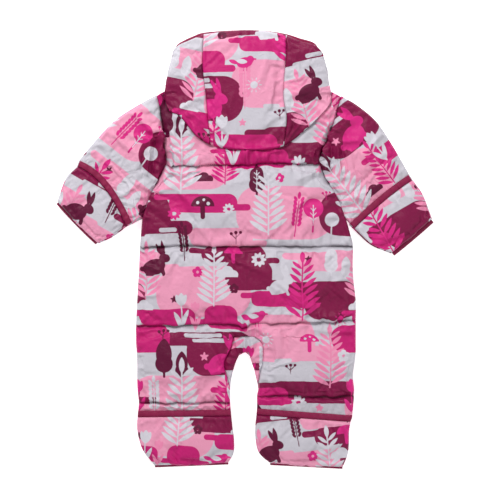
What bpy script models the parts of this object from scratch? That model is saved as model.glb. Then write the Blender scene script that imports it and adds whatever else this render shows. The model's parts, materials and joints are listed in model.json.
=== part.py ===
"""Baby snowsuit: a padded, quilted, hooded suit laid flat on its front.

The back half lies on the front half; the two meet at one level plane. Every cut piece is a closed wall with
its padding inside. Its visible face is worked out from section tables and from the seams and quilting lines
that hold the padding down. Units in the tables are millimetres: x to the right, y towards the hood, z up.
"""
import math

import bmesh
import bpy
import numpy as np

# ---------------------------------------------------------------- driving dimensions (mm)
MEET_Z = 10.0          # height of the plane where the back half lies on the front half
GAP = 0.3              # space left between two pieces that are sewn together
SEAM_HIGH = 3.0        # thickness of one padded layer where a seam presses it
BODY_CROWN = 10.5      # extra height of the padding between two quilting lines
SLEEVE_CROWN = 9.5
HOOD_CROWN = 13.0
HOOD_SEAM_DEPTH = 0.4    # how far, as a share of the crown, the seams beside the hood's strip press it down
HOOD_SEAM_REACH = 16.0
GUSSET_CROWN = 7.0
UNDER_FLAP_CROWN = 3.0  # padding left under a folded-back flap
FLAP_HIGH = 2.6        # thickness of a flap at its edges
FLAP_CROWN = 4.0       # extra thickness of a flap in its middle
ROUNDING = 30.0        # distance over which the padding rises from a seam
FOOT_ROUNDING = 13.0   # distance over which the underside rises to a side seam
BINDING_HIGH = 3.6     # thickness of the wide bindings
MITT_BINDING_WIDE = 11.6
HEM_HALF_HIGH = 2.4    # half thickness of the flattened cuff and leg-end bindings
LEG_HEM_WIDE = 3.4
FOLD_IN = 1.6          # how far the inner faces stop short of a folded side

ZIP_HALF_CHANNEL = 8.0
ZIP_TOP_Y, ZIP_FOOT_Y = 152.0, -146.0
TAPE_LOW, TAPE_HIGH = 7.0, 8.2
COIL_HALF = 1.3
PULL_PIVOT_Y, PULL_PIVOT_Z = 146.0, 2.7
PULL_LONG, PULL_WIDE, PULL_THICK = 24.0, 5.6, 1.3
PIN_R, EYE_HOLE_R, EYE_R = 0.65, 0.85, 1.6

# ---------------------------------------------------------------- section tables
# One row a section, from the shoulder down to the foot. Rows 0-12 run down the armhole, 0-8 round the neck,
# 9 is the chest quilting line, 14 the waist, 17 the hip, 18 the crotch, 24 the shin line, 25 and 26 the
# edges of the foot flap's binding and 30 the leg's end.
# columns: outer_x, outer_y, back_x, back_y, front_x, front_y
LEFT_SECTIONS = np.array([
    (-154, 268, -140, 275, -140, 275),
    (-150, 250, -137, 254, -138, 254),
    (-148, 236, -131, 240, -133, 236),
    (-146, 222, -117, 233, -122, 218),
    (-144, 208, -103, 219, -108, 202),
    (-143, 194, -86, 198, -90, 186),
    (-142, 180, -60, 182, -65, 172),
    (-140, 168, -33, 175, -36, 162),
    (-138, 157, 0, 172, -8, 158),
    (-139, 147, 0, 149, -8, 148),
    (-156, 114, 0, 124, -8, 124),
    (-168, 89, 0, 94, -8, 94),
    (-180, 54, 0, 60, -8, 60),
    (-182, 30, 0, 33, -8, 33),
    (-184, 5, 0, 5, -8, 5),
    (-186, -40, 0, -40, -8, -40),
    (-189, -89, 0, -89, -8, -89),
    (-191, -135, 0, -131, -8, -130),
    (-191, -152, 0, -152, -8, -150),
    (-191, -163, -19, -154, -0.15, -160),
    (-190, -177, -24, -172, -0.15, -181),
    (-189, -198, -36, -200, -16, -199),
    (-189, -228, -30, -228, -24, -228),
    (-188, -248, -26, -248, -26, -248),
    (-186, -268, -26, -268, -26, -268),
    (-187, -283, -25, -281, -25, -281),
    (-188, -294, -24, -292, -24, -292),
    (-189, -312, -22, -310, -22, -310),
    (-185, -335, -19, -333, -19, -333),
    (-177, -355, -20, -353, -20, -353),
    (-158, -380, -33, -378, -33, -378),
], float)
RIGHT_SECTIONS = np.array([
    (168, 266, 150, 275, 150, 275),
    (164, 252, 149, 257, 149, 257),
    (159, 234, 142, 245, 143, 240),
    (154, 219, 128, 229, 131, 221),
    (149, 205, 114, 215, 117, 204),
    (144, 191, 96, 200, 98, 187),
    (138, 176, 68, 180, 71, 173),
    (133, 165, 37, 173, 40, 163),
    (130, 155, 0, 172, 8, 158),
    (131, 147, 0, 149, 8, 148),
    (148, 114, 0, 124, 8, 124),
    (163, 88, 0, 94, 8, 94),
    (177, 52, 0, 60, 8, 60),
    (184, 28, 0, 33, 8, 33),
    (189, 5, 0, 5, 8, 5),
    (187, -42, 0, -40, 8, -40),
    (194, -89, 0, -89, 8, -89),
    (194, -124, 0, -131, 8, -130),
    (194, -150, 0, -152, 8, -150),
    (194, -163, 16, -153, 0.15, -160),
    (194, -180, 31, -168, 0.15, -181),
    (192, -200, 31, -198, 12, -199),
    (189, -222, 26, -219, 18, -220),
    (191, -243, 23, -245, 23, -245),
    (191, -257, 21, -257, 21, -257),
    (188, -291, 21, -279, 21, -279),
    (185, -302, 20, -290, 20, -290),
    (182, -320, 18, -309, 18, -309),
    (182, -338, 18, -332, 18, -332),
    (180, -358, 24, -356, 24, -356),
    (171, -382, 48, -380, 48, -380),
], float)
OUTER, BACK, FRONT = 0, 2, 4     # first column of each edge
TURN_ROWS = {OUTER: (12,), BACK: (8, 18, 19), FRONT: (8, 9, 18, 19, 20)}

# rows at which the solids are cut, closer together beside a quilting line
BODY_ROWS = np.array([0, .4, 1, 2, 3, 4, 5, 6, 6.33, 6.67, 7, 7.33, 7.67, 8, 8.5, 8.8, 9, 9.15, 9.4, 10, 11,
                      12, 13, 13.6, 13.86, 14, 14.1, 14.35, 15, 15.5, 16, 16.6, 16.85, 17, 17.25, 18, 19,
                      19.5, 20, 20.5, 21, 21.5, 22, 22.5, 23, 23.5, 23.8, 24, 24.2, 24.6, 25, 26, 26.6, 27,
                      27.5, 28, 28.5, 29, 29.5, 30])
ACROSS = np.array([0, .025, .07, .14, .25, .38, .5, .62, .75, .86, .93, .975, 1])
ACROSS_FRONT = np.array([0, .025, .07, .5, 1])

# the gusset's lower, folded edge beside rows 18 to 23 of the back's edge
# columns: left_x, left_y, right_x, right_y
GUSSET_FOLD = np.array([
    (-1, -181.4, -1, -181.4),
    (-5, -182.4, 3, -182.4),
    (-9.5, -187, 8, -188),
    (-17, -201, 13, -203),
    (-24.5, -228.5, 18.5, -219.5),
    (-25.7, -248, 22.7, -245),
], float)
GUSSET_LAST_ROW = 22.5

# sections across each sleeve, from the armhole (left out here) to the cuff; row 3 is the flap binding
# columns: top_x, top_y, middle_x, middle_y, under_x, under_y
LEFT_SLEEVE = np.array([
    (-192, 247, -161, 156, -184.5, 52.2),
    (-226, 224, -184, 138, -189, 50),
    (-259, 190, -208, 122, -194, 47.5),
    (-291, 149, -244, 113, -203, 43.5),
    (-312, 123, -271, 79, -232, 23.5),
    (-327.5, 82, -293.5, 45, -258.5, 11),
], float)
RIGHT_SLEEVE = np.array([
    (198, 248, 158, 160, 179.5, 50),
    (230, 220, 183, 140, 182, 47),
    (258, 178, 207, 118, 184, 44.5),
    (289, 125, 237, 86, 187.5, 40),
    (311, 92, 266, 48, 222, 8.5),
    (326.3, 52, 292, 22, 257, -6.5),
], float)

# hood seams and edges, each from the neck to the brim
HOOD_STRIP_LEFT = [(-60, 182), (-63, 214), (-66, 240), (-68, 266), (-71, 290), (-74, 317), (-74, 348),
                   (-72, 379)]
HOOD_STRIP_RIGHT = [(68, 180), (73, 226), (70, 245), (67, 266), (68, 290), (70, 320), (72, 348), (71, 378)]
HOOD_SIDE_LEFT = [(-140, 275), (-138, 289), (-135, 306), (-132, 320), (-129, 333)]
HOOD_SIDE_RIGHT = [(150, 275), (147, 289), (144, 306), (141, 322), (138, 336)]
BRIM_LEFT = [(-72, 379), (-87, 373), (-101, 366), (-114, 357), (-123, 346), (-129, 333)]
BRIM_RIGHT = [(71, 378), (96, 367), (115, 360), (128, 350), (138, 336)]
BRIM_MIDDLE = [(-72, 379), (-35, 383.2), (0, 385.1), (35, 383.2), (71, 378)]
FACE_EDGE_LEFT = [(-8, 158), (-34, 172), (-58, 194), (-78, 222), (-94, 256), (-108, 292), (-117, 325)]
FACE_EDGE_RIGHT = [(8, 158), (34, 172), (60, 194), (82, 222), (100, 256), (116, 292), (126, 327)]
HOOD_ROWS = np.linspace(0, 1, 15)

# quilting lines that press the padding down: x, y of their points, how deep (0 to 1) and how far they reach
QUILTING = [
    ([(-139, 147), (-70, 146), (0, 149), (60, 150), (131, 147)], .80, 32),
    ([(-184, 5), (0, 5), (189, 5)], .88, 36),
    ([(-191, -135), (0, -131)], .62, 30),
    ([(0, -131), (130, -127), (194, -124)], .45, 24),
    ([(-186, -268), (-26, -268)], .60, 24),
    ([(191, -257), (21, -257)], .55, 24),
    ([(-259, 178), (-231, 150), (-200, 116), (-170, 88)], .50, 26),
    ([(264, 166), (229, 142), (186, 98), (163, 80)], .55, 26),
]
# largest folds: a ridge (+) or a hollow (-) along a straight line
# columns: x0, y0, x1, y1, height, half_width
FOLDS = np.array([
    (-62, 13, 125, 13, 2.5, 9),
    (-45, 166, 88, 166, -2.0, 8),
    (-104, 216, -66, 184, 3.0, 11),
    (-58, 206, -32, 184, 2.5, 10),
    (-112, 243, -84, 262, 2.5, 12),
    (70, 190, 86, 214, -2.5, 9),
    (24, 290, 38, 330, 2.0, 11),
    (-128, 176, -88, 186, 2.5, 9),
    (-134, 128, -100, 108, 2.5, 10),
    (124, 132, 92, 112, 2.5, 10),
    (122, 168, 88, 172, 2.0, 9),
    (-160, 150, -196, 158, 3.0, 11),
    (-158, 182, -188, 206, 2.5, 11),
    (-170, 116, -205, 104, 2.5, 11),
    (150, 150, 190, 146, 3.0, 11),
    (152, 184, 182, 208, 2.5, 11),
    (166, 110, 204, 92, 2.5, 11),
    (130, -118, 188, -112, 2.0, 9),
    (60, -60, 110, -100, 1.5, 14),
    (-150, -60, -120, -20, 1.5, 14),
    (-60, -170, -40, -205, 2.0, 10),
    (-48, -236, -70, -258, 1.8, 10),
    (44, -232, 58, -252, 1.8, 10),
], float)

# ---------------------------------------------------------------- colours (linear)
LIGHT_PINK = (0.82, 0.35, 0.49)
MAROON = (0.20, 0.025, 0.07)
BINDING = (0.33, 0.015, 0.10)
GREY_TAPE = (0.62, 0.58, 0.64)
PINK_METAL = (0.60, 0.10, 0.28)


# ---------------------------------------------------------------- curves and heights
def spline(points, rows, turns=()):
    """Points at fractional rows of a table, on a Catmull-Rom curve that may turn sharply at some rows."""
    points = np.asarray(points, float)
    rows = np.atleast_1d(np.asarray(rows, float))
    last = len(points) - 1
    i = np.clip(np.floor(rows).astype(int), 0, last - 1)
    f = (rows - i)[:, None]
    p1, p2 = points[i], points[i + 1]
    starts = (np.isin(i, turns) | (i == 0))[:, None]
    ends = (np.isin(i + 1, turns) | (i + 1 == last))[:, None]
    p0 = np.where(starts, 2 * p1 - p2, points[np.maximum(i - 1, 0)])
    p3 = np.where(ends, 2 * p2 - p1, points[np.minimum(i + 2, last)])
    return 0.5 * (2 * p1 + (p2 - p0) * f + (2 * p0 - 5 * p1 + 4 * p2 - p3) * f ** 2
                  + (3 * p1 - p0 - 3 * p2 + p3) * f ** 3)


def along(points, fractions):
    """Points at fractions of a curve's length."""
    fine = spline(points, np.linspace(0, len(points) - 1, 40 * len(points)))
    length = np.concatenate([[0], np.cumsum(np.hypot(*np.diff(fine, axis=0).T))])
    wanted = np.asarray(fractions, float) * length[-1]
    return np.stack([np.interp(wanted, length, fine[:, k]) for k in (0, 1)], axis=1)


def length_fractions(points):
    """How far along a line each of its points lies, from 0 to 1."""
    steps = np.concatenate([[0], np.cumsum(np.hypot(*np.diff(points, axis=0).T))])
    return steps / steps[-1]


def between(first, second, fractions):
    """A grid whose rows run straight from the points of one edge to those of another."""
    f = np.asarray(fractions)[None, :, None]
    return first[:, None, :] * (1 - f) + second[:, None, :] * f


def patch(start, end, side_a, side_b):
    """A grid filling four edges (Coons patch): start and end are its first and last rows."""
    u = length_fractions(start)[None, :, None]
    v = length_fractions(side_a)[:, None, None]
    lengthwise = start[None] * (1 - v) + end[None] * v
    sideways = side_a[:, None] * (1 - u) + side_b[:, None] * u
    corners = ((start[0] * (1 - u) + start[-1] * u) * (1 - v) + (end[0] * (1 - u) + end[-1] * u) * v)
    return lengthwise + sideways - corners


def shifted(line, distance):
    """A line moved sideways by a distance; positive is to the left of its direction."""
    step = np.gradient(line, axis=0)
    step /= np.hypot(step[:, 0], step[:, 1])[:, None]
    return line + distance * np.stack([-step[:, 1], step[:, 0]], axis=1)


def distance(xy, line):
    """Shortest distance from each point to a chain of straight pieces."""
    line = np.asarray(line, float)
    best = np.full(xy.shape[:-1], 1e9)
    for a, b in zip(line[:-1], line[1:]):
        step = b - a
        t = np.clip(((xy - a) @ step) / max(step @ step, 1e-9), 0, 1)
        best = np.minimum(best, np.linalg.norm(xy - (a + t[..., None] * step), axis=-1))
    return best


def rise(t):
    """A quarter round: 0 at 0, 1 from 1 onwards."""
    return np.sqrt(1 - (1 - np.clip(t, 0, 1)) ** 2)


def padding(xy, edges, crown, quilting=QUILTING):
    """Height of the padding over its seam level, held down along the edges and quilting lines."""
    free = rise(distance(xy, edges[0]) / ROUNDING)
    for line in edges[1:]:
        free = np.minimum(free, rise(distance(xy, line) / ROUNDING))
    full = free
    for line, depth, reach in quilting:
        full = np.minimum(full, 1 - depth * (1 - rise(distance(xy, line) / reach)))
    folds = 0
    for x0, y0, x1, y1, high, half in FOLDS:
        folds = folds + high * np.exp(-(distance(xy, [(x0, y0), (x1, y1)]) / half) ** 2)
    return crown * full + folds * free


def with_z(xy, z):
    return np.concatenate([xy, np.broadcast_to(z, xy.shape[:-1])[..., None]], axis=-1)


def underside(xy, folded_edges):
    """A bottom layer's outer face: level where it rests, rising to its folded side edges."""
    near = np.min([distance(xy, line) for line in folded_edges], axis=0)
    return with_z(xy, (MEET_Z - SEAM_HIGH) * (1 - rise(near / FOOT_ROUNDING)))


# ---------------------------------------------------------------- building closed walls
def material(name, colour, rough):
    mat = bpy.data.materials.new(name)
    mat.use_nodes = True
    shader = mat.node_tree.nodes["Principled BSDF"]
    shader.inputs["Base Color"].default_value = (*colour, 1)
    shader.inputs["Roughness"].default_value = rough
    return mat


def finish(name, bm, colour, rough=0.75):
    """Turn a bmesh in millimetres into one closed, outward-facing object in metres."""
    bmesh.ops.remove_doubles(bm, verts=bm.verts, dist=1e-3)
    bmesh.ops.triangulate(bm, faces=bm.faces[:], quad_method="SHORT_EDGE", ngon_method="BEAUTY")
    bmesh.ops.recalc_face_normals(bm, faces=bm.faces[:])
    bmesh.ops.scale(bm, vec=(0.001, 0.001, 0.001), verts=bm.verts)
    mesh = bpy.data.meshes.new(name)
    bm.to_mesh(mesh)
    bm.free()
    obj = bpy.data.objects.new(name, mesh)
    mesh.materials.append(material(name + "_cloth", colour, rough))
    GARMENT.objects.link(obj)
    return obj


def add_grid(bm, points, close=False):
    """Add a grid of points and its faces; close joins the last column to the first."""
    verts = [[bm.verts.new(p) for p in row] for row in points]
    columns = len(verts[0])
    for top, bottom in zip(verts[:-1], verts[1:]):
        for j in range(columns if close else columns - 1):
            k = (j + 1) % columns
            bm.faces.new((top[j], top[k], bottom[k], bottom[j]))
    return verts


def bridge(bm, first, second, close=False):
    count = len(first)
    for j in range(count if close else count - 1):
        k = (j + 1) % count
        bm.faces.new((first[j], first[k], second[k], second[j]))


def inward(bm, amount):
    """Move an open sheet's border in by half the seam gap, square to the border, in plan."""
    shift = {}
    for edge in bm.edges:
        if len(edge.link_faces) != 1:
            continue
        a, b = edge.verts
        run = (b.co - a.co).xy
        if run.length < 1e-6:
            continue
        side = run.orthogonal().normalized()
        middle = edge.link_faces[0].calc_center_median().xy - a.co.xy
        if side.dot(middle) < 0:
            side.negate()
        for vert in (a, b):
            shift.setdefault(vert, []).append(side)
    for vert, sides in shift.items():
        total = sides[0].copy()
        for side in sides[1:]:
            total += side
        if total.length > 1e-6:
            total.normalize()
            lean = max(total.dot(sides[0]), 0.5)
            vert.co.x += amount * total.x / lean
            vert.co.y += amount * total.y / lean


def panel(name, grids, inner_z, colour):
    """A layer of padded cloth over a level inner face at inner_z; the grids are its outer face."""
    bm = bmesh.new()
    for grid in grids:
        add_grid(bm, grid)
    bmesh.ops.remove_doubles(bm, verts=bm.verts, dist=1e-3)
    inward(bm, GAP / 2)
    border = [edge for edge in bm.edges if len(edge.link_faces) == 1]
    made = bmesh.ops.extrude_edge_only(bm, edges=border)["geom"]
    for vert in [item for item in made if isinstance(item, bmesh.types.BMVert)]:
        vert.co.z = inner_z
    rim = [edge for edge in bm.edges if len(edge.link_faces) == 1]
    bmesh.ops.contextual_create(bm, geom=rim)
    return finish(name, bm, colour)


def wall(name, outer, inner, colour):
    """A closed wall between two grids of equal size."""
    bm = bmesh.new()
    a, b = add_grid(bm, outer), add_grid(bm, inner)
    bridge(bm, a[0], b[0])
    bridge(bm, a[-1], b[-1])
    bridge(bm, [row[0] for row in a], [row[0] for row in b])
    bridge(bm, [row[-1] for row in a], [row[-1] for row in b])
    return finish(name, bm, colour)


def tube(name, outer, inner, colour):
    """A closed wall between two tubes made of rings of equal length, open at both ends."""
    bm = bmesh.new()
    a, b = add_grid(bm, outer, close=True), add_grid(bm, inner, close=True)
    bridge(bm, a[0], b[0], close=True)
    bridge(bm, a[-1], b[-1], close=True)
    return finish(name, bm, colour)


def drawn_in(grid, amount):
    """Each row of a grid with its two ends moved towards its middle."""
    result = grid.copy()
    for end, near in ((0, 1), (-1, -2)):
        step = grid[:, near] - grid[:, end]
        step /= np.linalg.norm(step, axis=1)[:, None]
        result[:, end] = grid[:, end] + amount * step
    return result


def ends_in(grid, amount):
    """A grid with its first and last rows moved towards their neighbours."""
    result = grid.copy()
    for end, near in ((0, 1), (-1, -2)):
        step = grid[near] - grid[end]
        step /= np.maximum(np.linalg.norm(step, axis=1), 1e-6)[:, None]
        result[end] = grid[end] + amount * step
    return result


def folded_ring(top, bottom):
    """Rings that run across the top layer and back across the bottom layer."""
    return np.concatenate([top, bottom[:, ::-1]], axis=1)


# ---------------------------------------------------------------- the pieces
def edge_line(sections, part, rows):
    """One edge of the body at fractional rows of its section table."""
    return spline(sections[:, part:part + 2], rows, TURN_ROWS[part])


def body_edges(sections, rows=BODY_ROWS):
    return {part: edge_line(sections, part, rows) for part in (OUTER, BACK, FRONT)}


def row_crown(rows):
    """Crown of the back panel by section: thin where a foot flap lies on it."""
    return np.interp(rows, [0, 24, 25, 30], [BODY_CROWN, BODY_CROWN, UNDER_FLAP_CROWN, UNDER_FLAP_CROWN])


def back_outline():
    edges = []
    for sections in (LEFT_SECTIONS, RIGHT_SECTIONS):
        side = body_edges(sections)
        neck = side[BACK][BODY_ROWS <= 8]
        leg = side[BACK][BODY_ROWS >= 18]
        edges += [side[OUTER], neck, leg, np.array([side[OUTER][-1], side[BACK][-1]])]
    return edges


def back_grid(sections, outline):
    side = body_edges(sections)
    xy = between(side[OUTER], side[BACK], ACROSS)
    high = SEAM_HIGH + padding(xy, outline, row_crown(BODY_ROWS)[:, None])
    return with_z(xy, MEET_Z + high)


def make_body():
    outline = back_outline()
    grids = [back_grid(table, outline) for table in (LEFT_SECTIONS, RIGHT_SECTIONS)]
    panel("back", grids, MEET_Z + GAP / 2, LIGHT_PINK)
    for name, table in (("front_left", LEFT_SECTIONS), ("front_right", RIGHT_SECTIONS)):
        side = body_edges(table)
        folded = [side[OUTER][BODY_ROWS >= 12], side[FRONT][BODY_ROWS >= 20], side[OUTER][:2]]
        xy = between(side[OUTER], side[FRONT], ACROSS_FRONT)
        panel(name, [underside(xy, folded)], MEET_Z - GAP / 2, LIGHT_PINK)
    return dict(zip(("left", "right"), grids))


def make_gusset():
    """An arch sewn to the back's edge: up the left inner leg, over the crotch and down the right one."""
    rows = BODY_ROWS[(BODY_ROWS >= 18) & (BODY_ROWS <= GUSSET_LAST_ROW)]
    limbs = []
    for table, fold in ((LEFT_SECTIONS, GUSSET_FOLD[:, 0:2]), (RIGHT_SECTIONS, GUSSET_FOLD[:, 2:4])):
        limbs.append(between(edge_line(table, BACK, rows), spline(fold, rows - 18), [0, .3, .7, 1]))
    xy = np.concatenate([limbs[0][:0:-1], limbs[1]])
    held = np.minimum(distance(xy, xy[:, 0]), distance(xy, xy[:, -1]))
    high = SEAM_HIGH + GUSSET_CROWN * rise(held / ROUNDING)
    panel("crotch_gusset", [with_z(xy, MEET_Z + high)], MEET_Z + GAP / 2, MAROON)


def foot_flap(side, grid):
    """A foot cover folded back over the shin: its inner face follows the leg, its foot turns down."""
    leg = grid[BODY_ROWS >= 26]
    inner = drawn_in(ends_in(leg, GAP), GAP / 2)
    inner[..., 2] += GAP
    outer = inner.copy()
    xy = inner[..., :2]
    rim = [xy[0], xy[-1], xy[:, 0], xy[:, -1]]
    lift = np.min([rise(distance(xy, line) / 18) for line in rim], axis=0)
    outer[..., 2] += FLAP_HIGH + FLAP_CROWN * lift
    wall("foot_flap_" + side, outer, inner, LIGHT_PINK)
    edge = grid[(BODY_ROWS >= 25) & (BODY_ROWS <= 26)]
    top_row, foot_row = drawn_in(edge, GAP / 2)
    rows = np.array([0, .5, 1])[:, None, None]
    low = top_row * (1 - rows) + foot_row * rows
    low[..., 2] += GAP
    high = low.copy()
    high[..., 2] += np.array([.55, 1, .55])[:, None] * BINDING_HIGH
    wall("foot_binding_" + side, high, low, BINDING)


def flat_hem(name, line, outward, wide, deep):
    """An elastic binding round a flattened opening, standing out past its end."""
    outward = np.asarray(outward, float) / np.linalg.norm(outward)
    steps = np.array([GAP, wide * .6, wide])
    xy = line[None] + steps[:, None, None] * outward
    xy = drawn_in(xy, GAP / 2)
    inside = drawn_in(xy, FOLD_IN)
    thick = HEM_HALF_HIGH * np.array([1, 1, deep])[:, None] * np.ones(len(line))
    thick[:, [0, -1]] *= .6
    outer = folded_ring(with_z(xy, MEET_Z + thick), with_z(xy, MEET_Z - thick))
    inner = folded_ring(with_z(inside, MEET_Z + GAP / 2), with_z(inside, MEET_Z - GAP / 2))
    tube(name, outer, inner, BINDING)


def sleeve_sections(sections, table):
    """Curves across a sleeve from the armhole to the cuff, sharing the armhole's points."""
    armhole = edge_line(sections, OUTER, BODY_ROWS[BODY_ROWS <= 12])
    u = length_fractions(armhole)[:, None]
    curves = [armhole]
    for row in table:
        top, middle, under = row[0:2], row[2:4], row[4:6]
        curves.append(top * (2 * u - 1) * (u - 1) + middle * 4 * u * (1 - u) + under * u * (2 * u - 1))
    turn = 1 if table[0, 0] < 0 else -1
    binding = curves[4]
    curves[4:5] = [shifted(binding, turn * MITT_BINDING_WIDE / 2), binding,
                   shifted(binding, -turn * MITT_BINDING_WIDE / 2)]
    return np.array(curves)


def make_sleeve(side, sections, table, hem_wide):
    curves = sleeve_sections(sections, table)
    stations = np.array([0, .35, 1, 1.5, 2, 2.5, 3, 3.5, 4, 5, 6, 6.5, 7, 7.5, 8])
    xy = np.stack([spline(curves[:, j], stations, (4, 6)) for j in range(curves.shape[1])], axis=1)
    edges = [xy[0], xy[-1], xy[:, 0], xy[:, -1]]
    crown = np.interp(stations, [0, 3, 4, 8], [SLEEVE_CROWN, SLEEVE_CROWN, UNDER_FLAP_CROWN, UNDER_FLAP_CROWN])
    top = with_z(xy, MEET_Z + SEAM_HIGH + padding(xy, edges, crown[:, None]))
    bottom = underside(xy, [xy[:, 0], xy[:, -1]])
    outer = folded_ring(ends_in(top, GAP / 2), ends_in(bottom, GAP / 2))
    lining_rows = [0, 4, 9, len(stations) - 1]
    inside = ends_in(xy, GAP / 2)[lining_rows]
    inside = drawn_in(inside, FOLD_IN)
    inner = folded_ring(with_z(inside, MEET_Z + GAP / 2), with_z(inside, MEET_Z - GAP / 2))
    tube("sleeve_" + side, outer, inner, LIGHT_PINK)

    flap = drawn_in(ends_in(top[stations >= 6], GAP), GAP / 2)
    flap[..., 2] += GAP
    outer = flap.copy()
    rim = [flap[0, :, :2], flap[-1, :, :2], flap[:, 0, :2], flap[:, -1, :2]]
    lift = np.min([rise(distance(flap[..., :2], line) / 16) for line in rim], axis=0)
    outer[..., 2] += FLAP_HIGH + FLAP_CROWN * lift
    wall("mitt_flap_" + side, outer, flap, LIGHT_PINK)

    low = drawn_in(top[(stations >= 4) & (stations <= 6)], GAP / 2)
    low[..., 2] += GAP
    high = low.copy()
    high[..., 2] += np.array([.55, 1, .55])[:, None] * BINDING_HIGH
    wall("mitt_binding_" + side, high, low, BINDING)

    cuff = xy[-1]
    across = cuff[-1] - cuff[0]
    outward = np.array([across[1], -across[0]])
    if outward @ (cuff[0] - xy[-3, 0]) < 0:
        outward = -outward
    flat_hem("cuff_binding_" + side, cuff, outward, hem_wide, .55)


def make_hood():
    rows = BODY_ROWS[BODY_ROWS <= 8]
    neck_left = edge_line(LEFT_SECTIONS, BACK, rows)
    neck_right = edge_line(RIGHT_SECTIONS, BACK, rows)
    chin_left = edge_line(LEFT_SECTIONS, FRONT, rows)
    chin_right = edge_line(RIGHT_SECTIONS, FRONT, rows)
    strip_left = along(HOOD_STRIP_LEFT, HOOD_ROWS)
    strip_right = along(HOOD_STRIP_RIGHT, HOOD_ROWS)

    neck = np.concatenate([neck_left[rows >= 6], neck_right[rows >= 6][-2::-1]])
    brim = along(BRIM_MIDDLE, length_fractions(neck))
    xy = patch(neck, brim, strip_left, strip_right)
    seams = [(line, HOOD_SEAM_DEPTH, HOOD_SEAM_REACH) for line in (strip_left, strip_right)]
    high = SEAM_HIGH + padding(xy, [neck, brim], HOOD_CROWN, seams)
    panel("hood_centre", [with_z(xy, MEET_Z + high)], MEET_Z + GAP / 2, LIGHT_PINK)

    for name, neck_line, chin_line, strip, side_line, brim_line, face_line in (
            ("hood_left", neck_left, chin_left, strip_left, HOOD_SIDE_LEFT, BRIM_LEFT, FACE_EDGE_LEFT),
            ("hood_right", neck_right, chin_right, strip_right, HOOD_SIDE_RIGHT, BRIM_RIGHT, FACE_EDGE_RIGHT)):
        fold = along(side_line, HOOD_ROWS)
        start = neck_line[rows <= 6][::-1]
        brim = along(brim_line, length_fractions(start))
        upper = patch(start, brim, strip, fold)
        high = SEAM_HIGH + padding(upper, [start, brim, fold], HOOD_CROWN,
                                   [(strip, HOOD_SEAM_DEPTH, HOOD_SEAM_REACH)])
        face = along(face_line, HOOD_ROWS)
        chin = chin_line
        corner = between(fold[-1:], face[-1:], length_fractions(chin))[0]
        lower = patch(chin, corner, fold, face)
        under = underside(lower, [fold])
        rings = np.concatenate([with_z(upper, MEET_Z + high), under], axis=1)
        rings = ends_in(drawn_in(rings, GAP / 2), GAP / 2)
        flat = rings[..., :2].copy()
        turn = upper.shape[1] - 1
        inset = upper[:, -2] - upper[:, -1]
        inset /= np.linalg.norm(inset, axis=1)[:, None]
        flat[:, turn] += FOLD_IN * inset
        flat[:, turn + 1] += FOLD_IN * inset
        level = np.where(np.arange(rings.shape[1]) <= turn, MEET_Z + GAP / 2, MEET_Z - GAP / 2)
        wall(name, rings, with_z(flat, level[None]), LIGHT_PINK)


def strip_along(name, path, half_wide, half_high, colour, sides=8):
    """A soft cord-like binding: an oval section carried along a path, closed at both ends."""
    path = np.asarray(path, float)
    step = np.gradient(path, axis=0)
    step /= np.linalg.norm(step, axis=1)[:, None]
    across = np.stack([-step[:, 1], step[:, 0], np.zeros(len(path))], axis=1)
    across /= np.linalg.norm(across, axis=1)[:, None]
    up = np.cross(step, across)
    turn = np.arange(sides) * 2 * math.pi / sides
    rings = (path[:, None] + half_wide * np.cos(turn)[None, :, None] * across[:, None]
             + half_high * np.sin(turn)[None, :, None] * up[:, None])
    bm = bmesh.new()
    verts = add_grid(bm, rings, close=True)
    bm.faces.new(verts[0])
    bm.faces.new(verts[-1])
    return finish(name, bm, colour)


def make_hood_binding():
    """Three lengths of binding: up each side of the face opening, and round under the brim."""
    half = 3.0
    inside = half + GAP
    sides = (("left", FACE_EDGE_LEFT, -inside, [(-114.5, 331), (-117.4, 341)]),
             ("right", FACE_EDGE_RIGHT, inside, [(123, 334), (126, 343.5)]))
    for side, face_line, away, corner in sides:
        edge = shifted(along(face_line, np.linspace(.05, .96, 14)), away)
        path = along(np.concatenate([edge, corner]), np.linspace(0, 1, 20))
        strip_along("hood_binding_" + side, with_z(path, 5.0), half, 2.6, BINDING)
    brim = along([(-116.9, 343.5), (-113, 355), (-101, 365), (-87, 372.5), (-72, 378), (-35, 381),
                  (0, 382.1), (35, 381), (71, 376.5), (96, 367), (115, 359), (125, 347)], np.linspace(0, 1, 28))
    strip_along("hood_binding_brim", with_z(brim, 5.0), half, 2.6, BINDING)


# ---------------------------------------------------------------- the zip
def box(bm, low, high):
    verts = bmesh.ops.create_cube(bm, size=1)["verts"]
    size = np.subtract(high, low)
    for vert in verts:
        vert.co = [low[k] + (vert.co[k] + .5) * size[k] for k in range(3)]


def as_object(name, bm):
    mesh = bpy.data.meshes.new(name)
    bm.to_mesh(mesh)
    bm.free()
    obj = bpy.data.objects.new(name, mesh)
    CUTTERS.objects.link(obj)
    return obj


def rod(name, y, z, radius, x0, x1, sides=20):
    bm = bmesh.new()
    turn = np.arange(sides) * 2 * math.pi / sides
    rings = [[(x, y + radius * math.cos(a), z + radius * math.sin(a)) for a in turn] for x in (x0, x1)]
    verts = add_grid(bm, np.array(rings), close=True)
    bm.faces.new(verts[0])
    bm.faces.new(verts[1])
    bmesh.ops.recalc_face_normals(bm, faces=bm.faces[:])
    return as_object(name, bm)


def block(name, low, high, bevel=0.0):
    bm = bmesh.new()
    box(bm, low, high)
    if bevel:
        bmesh.ops.bevel(bm, geom=bm.edges[:], offset=bevel, segments=1, affect="EDGES")
    bmesh.ops.recalc_face_normals(bm, faces=bm.faces[:])
    return as_object(name, bm)


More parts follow.
